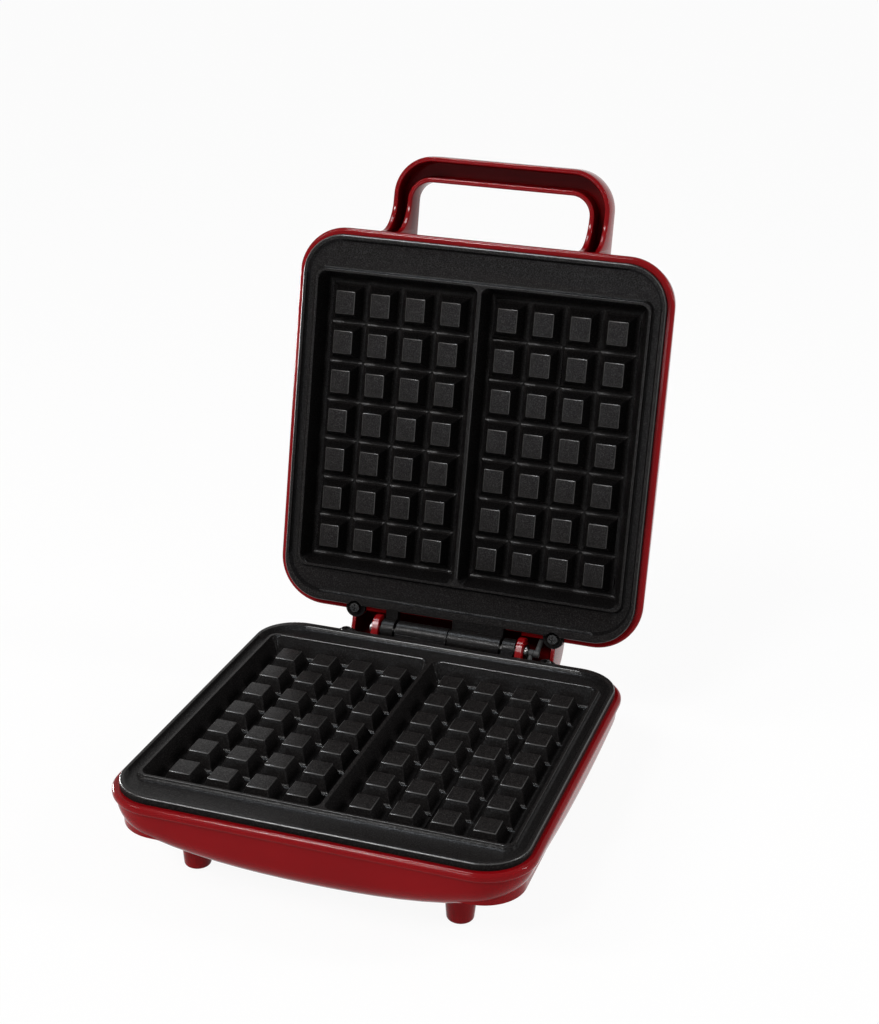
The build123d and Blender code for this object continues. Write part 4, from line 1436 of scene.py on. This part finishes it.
@dataclass
class Studio:
    """The camera at the photograph's place, soft lamps, a pale floor and a white surround."""

    camera_at: Point3 = (0.31521, -0.89845, 0.57084)
    camera_right: Point3 = (0.95018, 0.31059, 0.02627)
    camera_up: Point3 = (-0.13827, 0.34449, 0.92855)
    lens: float = 66.10
    sensor: float = 36.0
    even_power: float = 1.25
    even_deg: float = 14.0
    soft_light: float = 0.3
    floor_half: float = 9.0
    floor_glow: float = 0.93
    floor_pale: Colour = (0.82, 0.82, 0.82)
    floor_paler: Colour = (0.86, 0.86, 0.86)

    def build(self) -> None:
        """Sets up the camera, the lamps, the floor and the surround."""
        self.camera()
        self.lamps()
        self.floor()
        self.surround()
        bpy.context.scene.view_settings.view_transform = "Standard"

    def camera(self) -> None:
        """Puts the camera where the photograph was taken from."""
        view = bpy.data.cameras.new("photo_camera")
        view.sensor_fit = "VERTICAL"
        view.sensor_height = self.sensor
        view.lens = self.lens
        view.clip_start = 0.05
        camera = linked("photo_camera", view)
        right, up = Vector(self.camera_right).normalized(), Vector(self.camera_up)
        back = right.cross(up).normalized()
        up = back.cross(right)
        turn = Matrix((right, up, back)).transposed().to_4x4()
        camera.matrix_world = Matrix.Translation(self.camera_at) @ turn
        bpy.context.scene.camera = camera

    def lamps(self) -> None:
        """Hangs an even lamp, a window, a side strip, a low lamp and three that only glint."""
        even = bpy.data.lights.new("even_lamp", "SUN")
        even.energy = self.even_power
        even.angle = math.radians(self.even_deg)
        self.hang("even_lamp", even, (-0.45, -1.2, 1.35), (0.0, 0.0, 0.1))
        warm, plain, cool = (1.0, 0.93, 0.88), WHITE, (0.86, 0.93, 1.0)
        rows = (
            ("window_lamp", (-1.0, -0.7, 1.05), (0.0, 0.05, 0.1), (0.4, 0.5), 10.0, warm),
            ("side_lamp", (1.2, 0.3, 0.8), (0.0, 0.0, 0.1), (0.15, 0.7), 9.0, plain),
            ("low_lamp", (-0.3, -1.6, 0.35), (0.0, 0.0, 0.08), (0.9, 0.12), 3.0, cool),
            ("top_glint_lamp", (-0.27, 0.19, 1.13), (0.0, 0.15, 0.18), (0.3, 0.3), 11.0, cool),
            ("left_glint_lamp", (-1.0, 0.36, 0.12), (0.0, 0.15, 0.18), (0.3, 0.2), 10.0, plain),
            ("front_glint_lamp", (-0.35, -0.54, 1.01), (0.0, 0.0, 0.05), (0.25, 0.2), 14.0, plain),
        )
        for name, at, aim, size, power, colour in rows:
            light = bpy.data.lights.new(name, "AREA")
            light.shape = "RECTANGLE"
            light.size, light.size_y = size
            light.energy = power
            light.color = colour
            lamp = self.hang(name, light, at, aim)
            lamp.visible_diffuse = "glint" not in name

    def hang(self, name: str, light: bpy.types.Light, at: Point3, aim: Point3) -> Piece:
        """Hangs a lamp at a place, turned to what it lights.

        Args:
            name: The lamp's name.
            light: Its light.
            at: Where it hangs.
            aim: What it is turned to.

        Returns:
            The hung lamp.
        """
        lamp = linked(name, light)
        turn = (Vector(aim) - Vector(at)).to_track_quat("-Z", "Y").to_matrix().to_4x4()
        lamp.matrix_world = Matrix.Translation(at) @ turn
        return lamp

    def floor(self) -> None:
        """Lays a pale floor: white from above but for the maker's shadow, and clear from below."""
        reach = (-self.floor_half / MM, self.floor_half / MM)
        skin = Skin()
        skin.face(skin.ring([(x, y, 0) for x, y in rectangle(reach, reach)]))
        floor = skin.piece("pale_floor", Half.BASE)
        nodes = Nodes("pale_floor")
        nodes.fix(Specular_IOR_Level=0.2)
        nodes.feed(nodes.mix(nodes.noise(300, 2), self.floor_pale, self.floor_paler), "Base Color")
        nodes.feed(nodes.span(nodes.noise(3, 2), MOST, (0.7, 0.85)), "Roughness")
        tree = nodes.tree
        glow = tree.nodes.new("ShaderNodeEmission")
        glow.inputs["Strength"].default_value = 1.0
        share = combined(tree, "MULTIPLY", self.looked_at(tree), self.floor_glow)
        above = blended(tree, share, nodes.shader.outputs["BSDF"], glow.outputs["Emission"])
        below = tree.nodes.new("ShaderNodeNewGeometry").outputs["Backfacing"]
        clear = tree.nodes.new("ShaderNodeBsdfTransparent").outputs["BSDF"]
        surface = tree.nodes["Material Output"].inputs["Surface"]
        tree.links.new(blended(tree, below, above, clear), surface)
        floor.data.materials.append(nodes.material)

    def looked_at(self, tree: bpy.types.NodeTree) -> Socket:
        """Adds the test for a ray that looks: from the camera, off gloss or through glass.

        Args:
            tree: The nodes that it is added to.

        Returns:
            1 for such a ray and 0 for one that only brings light.
        """
        seen = tree.nodes.new("ShaderNodeLightPath")
        value = seen.outputs["Is Camera Ray"]
        for kind in ("Is Glossy Ray", "Is Transmission Ray"):
            value = combined(tree, "MAXIMUM", value, seen.outputs[kind])
        return value

    def surround(self) -> None:
        """Makes the surround white to the eye and in reflections, and a soft light otherwise."""
        world = bpy.data.worlds.new("surround")
        world.use_nodes = True
        bpy.context.scene.world = world
        tree = world.node_tree
        plain = tree.nodes["Background"]
        white = tree.nodes.new("ShaderNodeBackground")
        for background, strength in ((plain, self.soft_light), (white, 1.0)):
            background.inputs["Color"].default_value = (*WHITE, 1)
            background.inputs["Strength"].default_value = strength
        shades = (background.outputs["Background"] for background in (plain, white))
        both = blended(tree, self.looked_at(tree), *shades)
        tree.links.new(both, tree.nodes["World Output"].inputs["Surface"])


def main() -> None:
    """Builds the maker's pieces in order, dresses all that shows and sets up the studio."""
    logging.basicConfig(level=logging.INFO, format="%(message)s")
    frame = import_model()
    wardrobe = Wardrobe(FINISHES)
    for name, node in frame["nodes"].items():
        wardrobe.dress_node(node)
        LOG.info("dressed %s", name)
    BaseHalf().build(wardrobe)
    LOG.info("built the base half")
    LidHalf().build(wardrobe)
    LOG.info("built the lid half")
    lower = GridPlate("lower_plate", Half.BASE, wall_light_and_rub=0.2)
    for plate in (lower, GridPlate("upper_plate", Half.LID)):
        plate.build(wardrobe, frame["nodes"])
        LOG.info("built %s", plate.node)
    Studio().build()
    LOG.info("set up the studio")


if __name__ == "__main__":
    main()
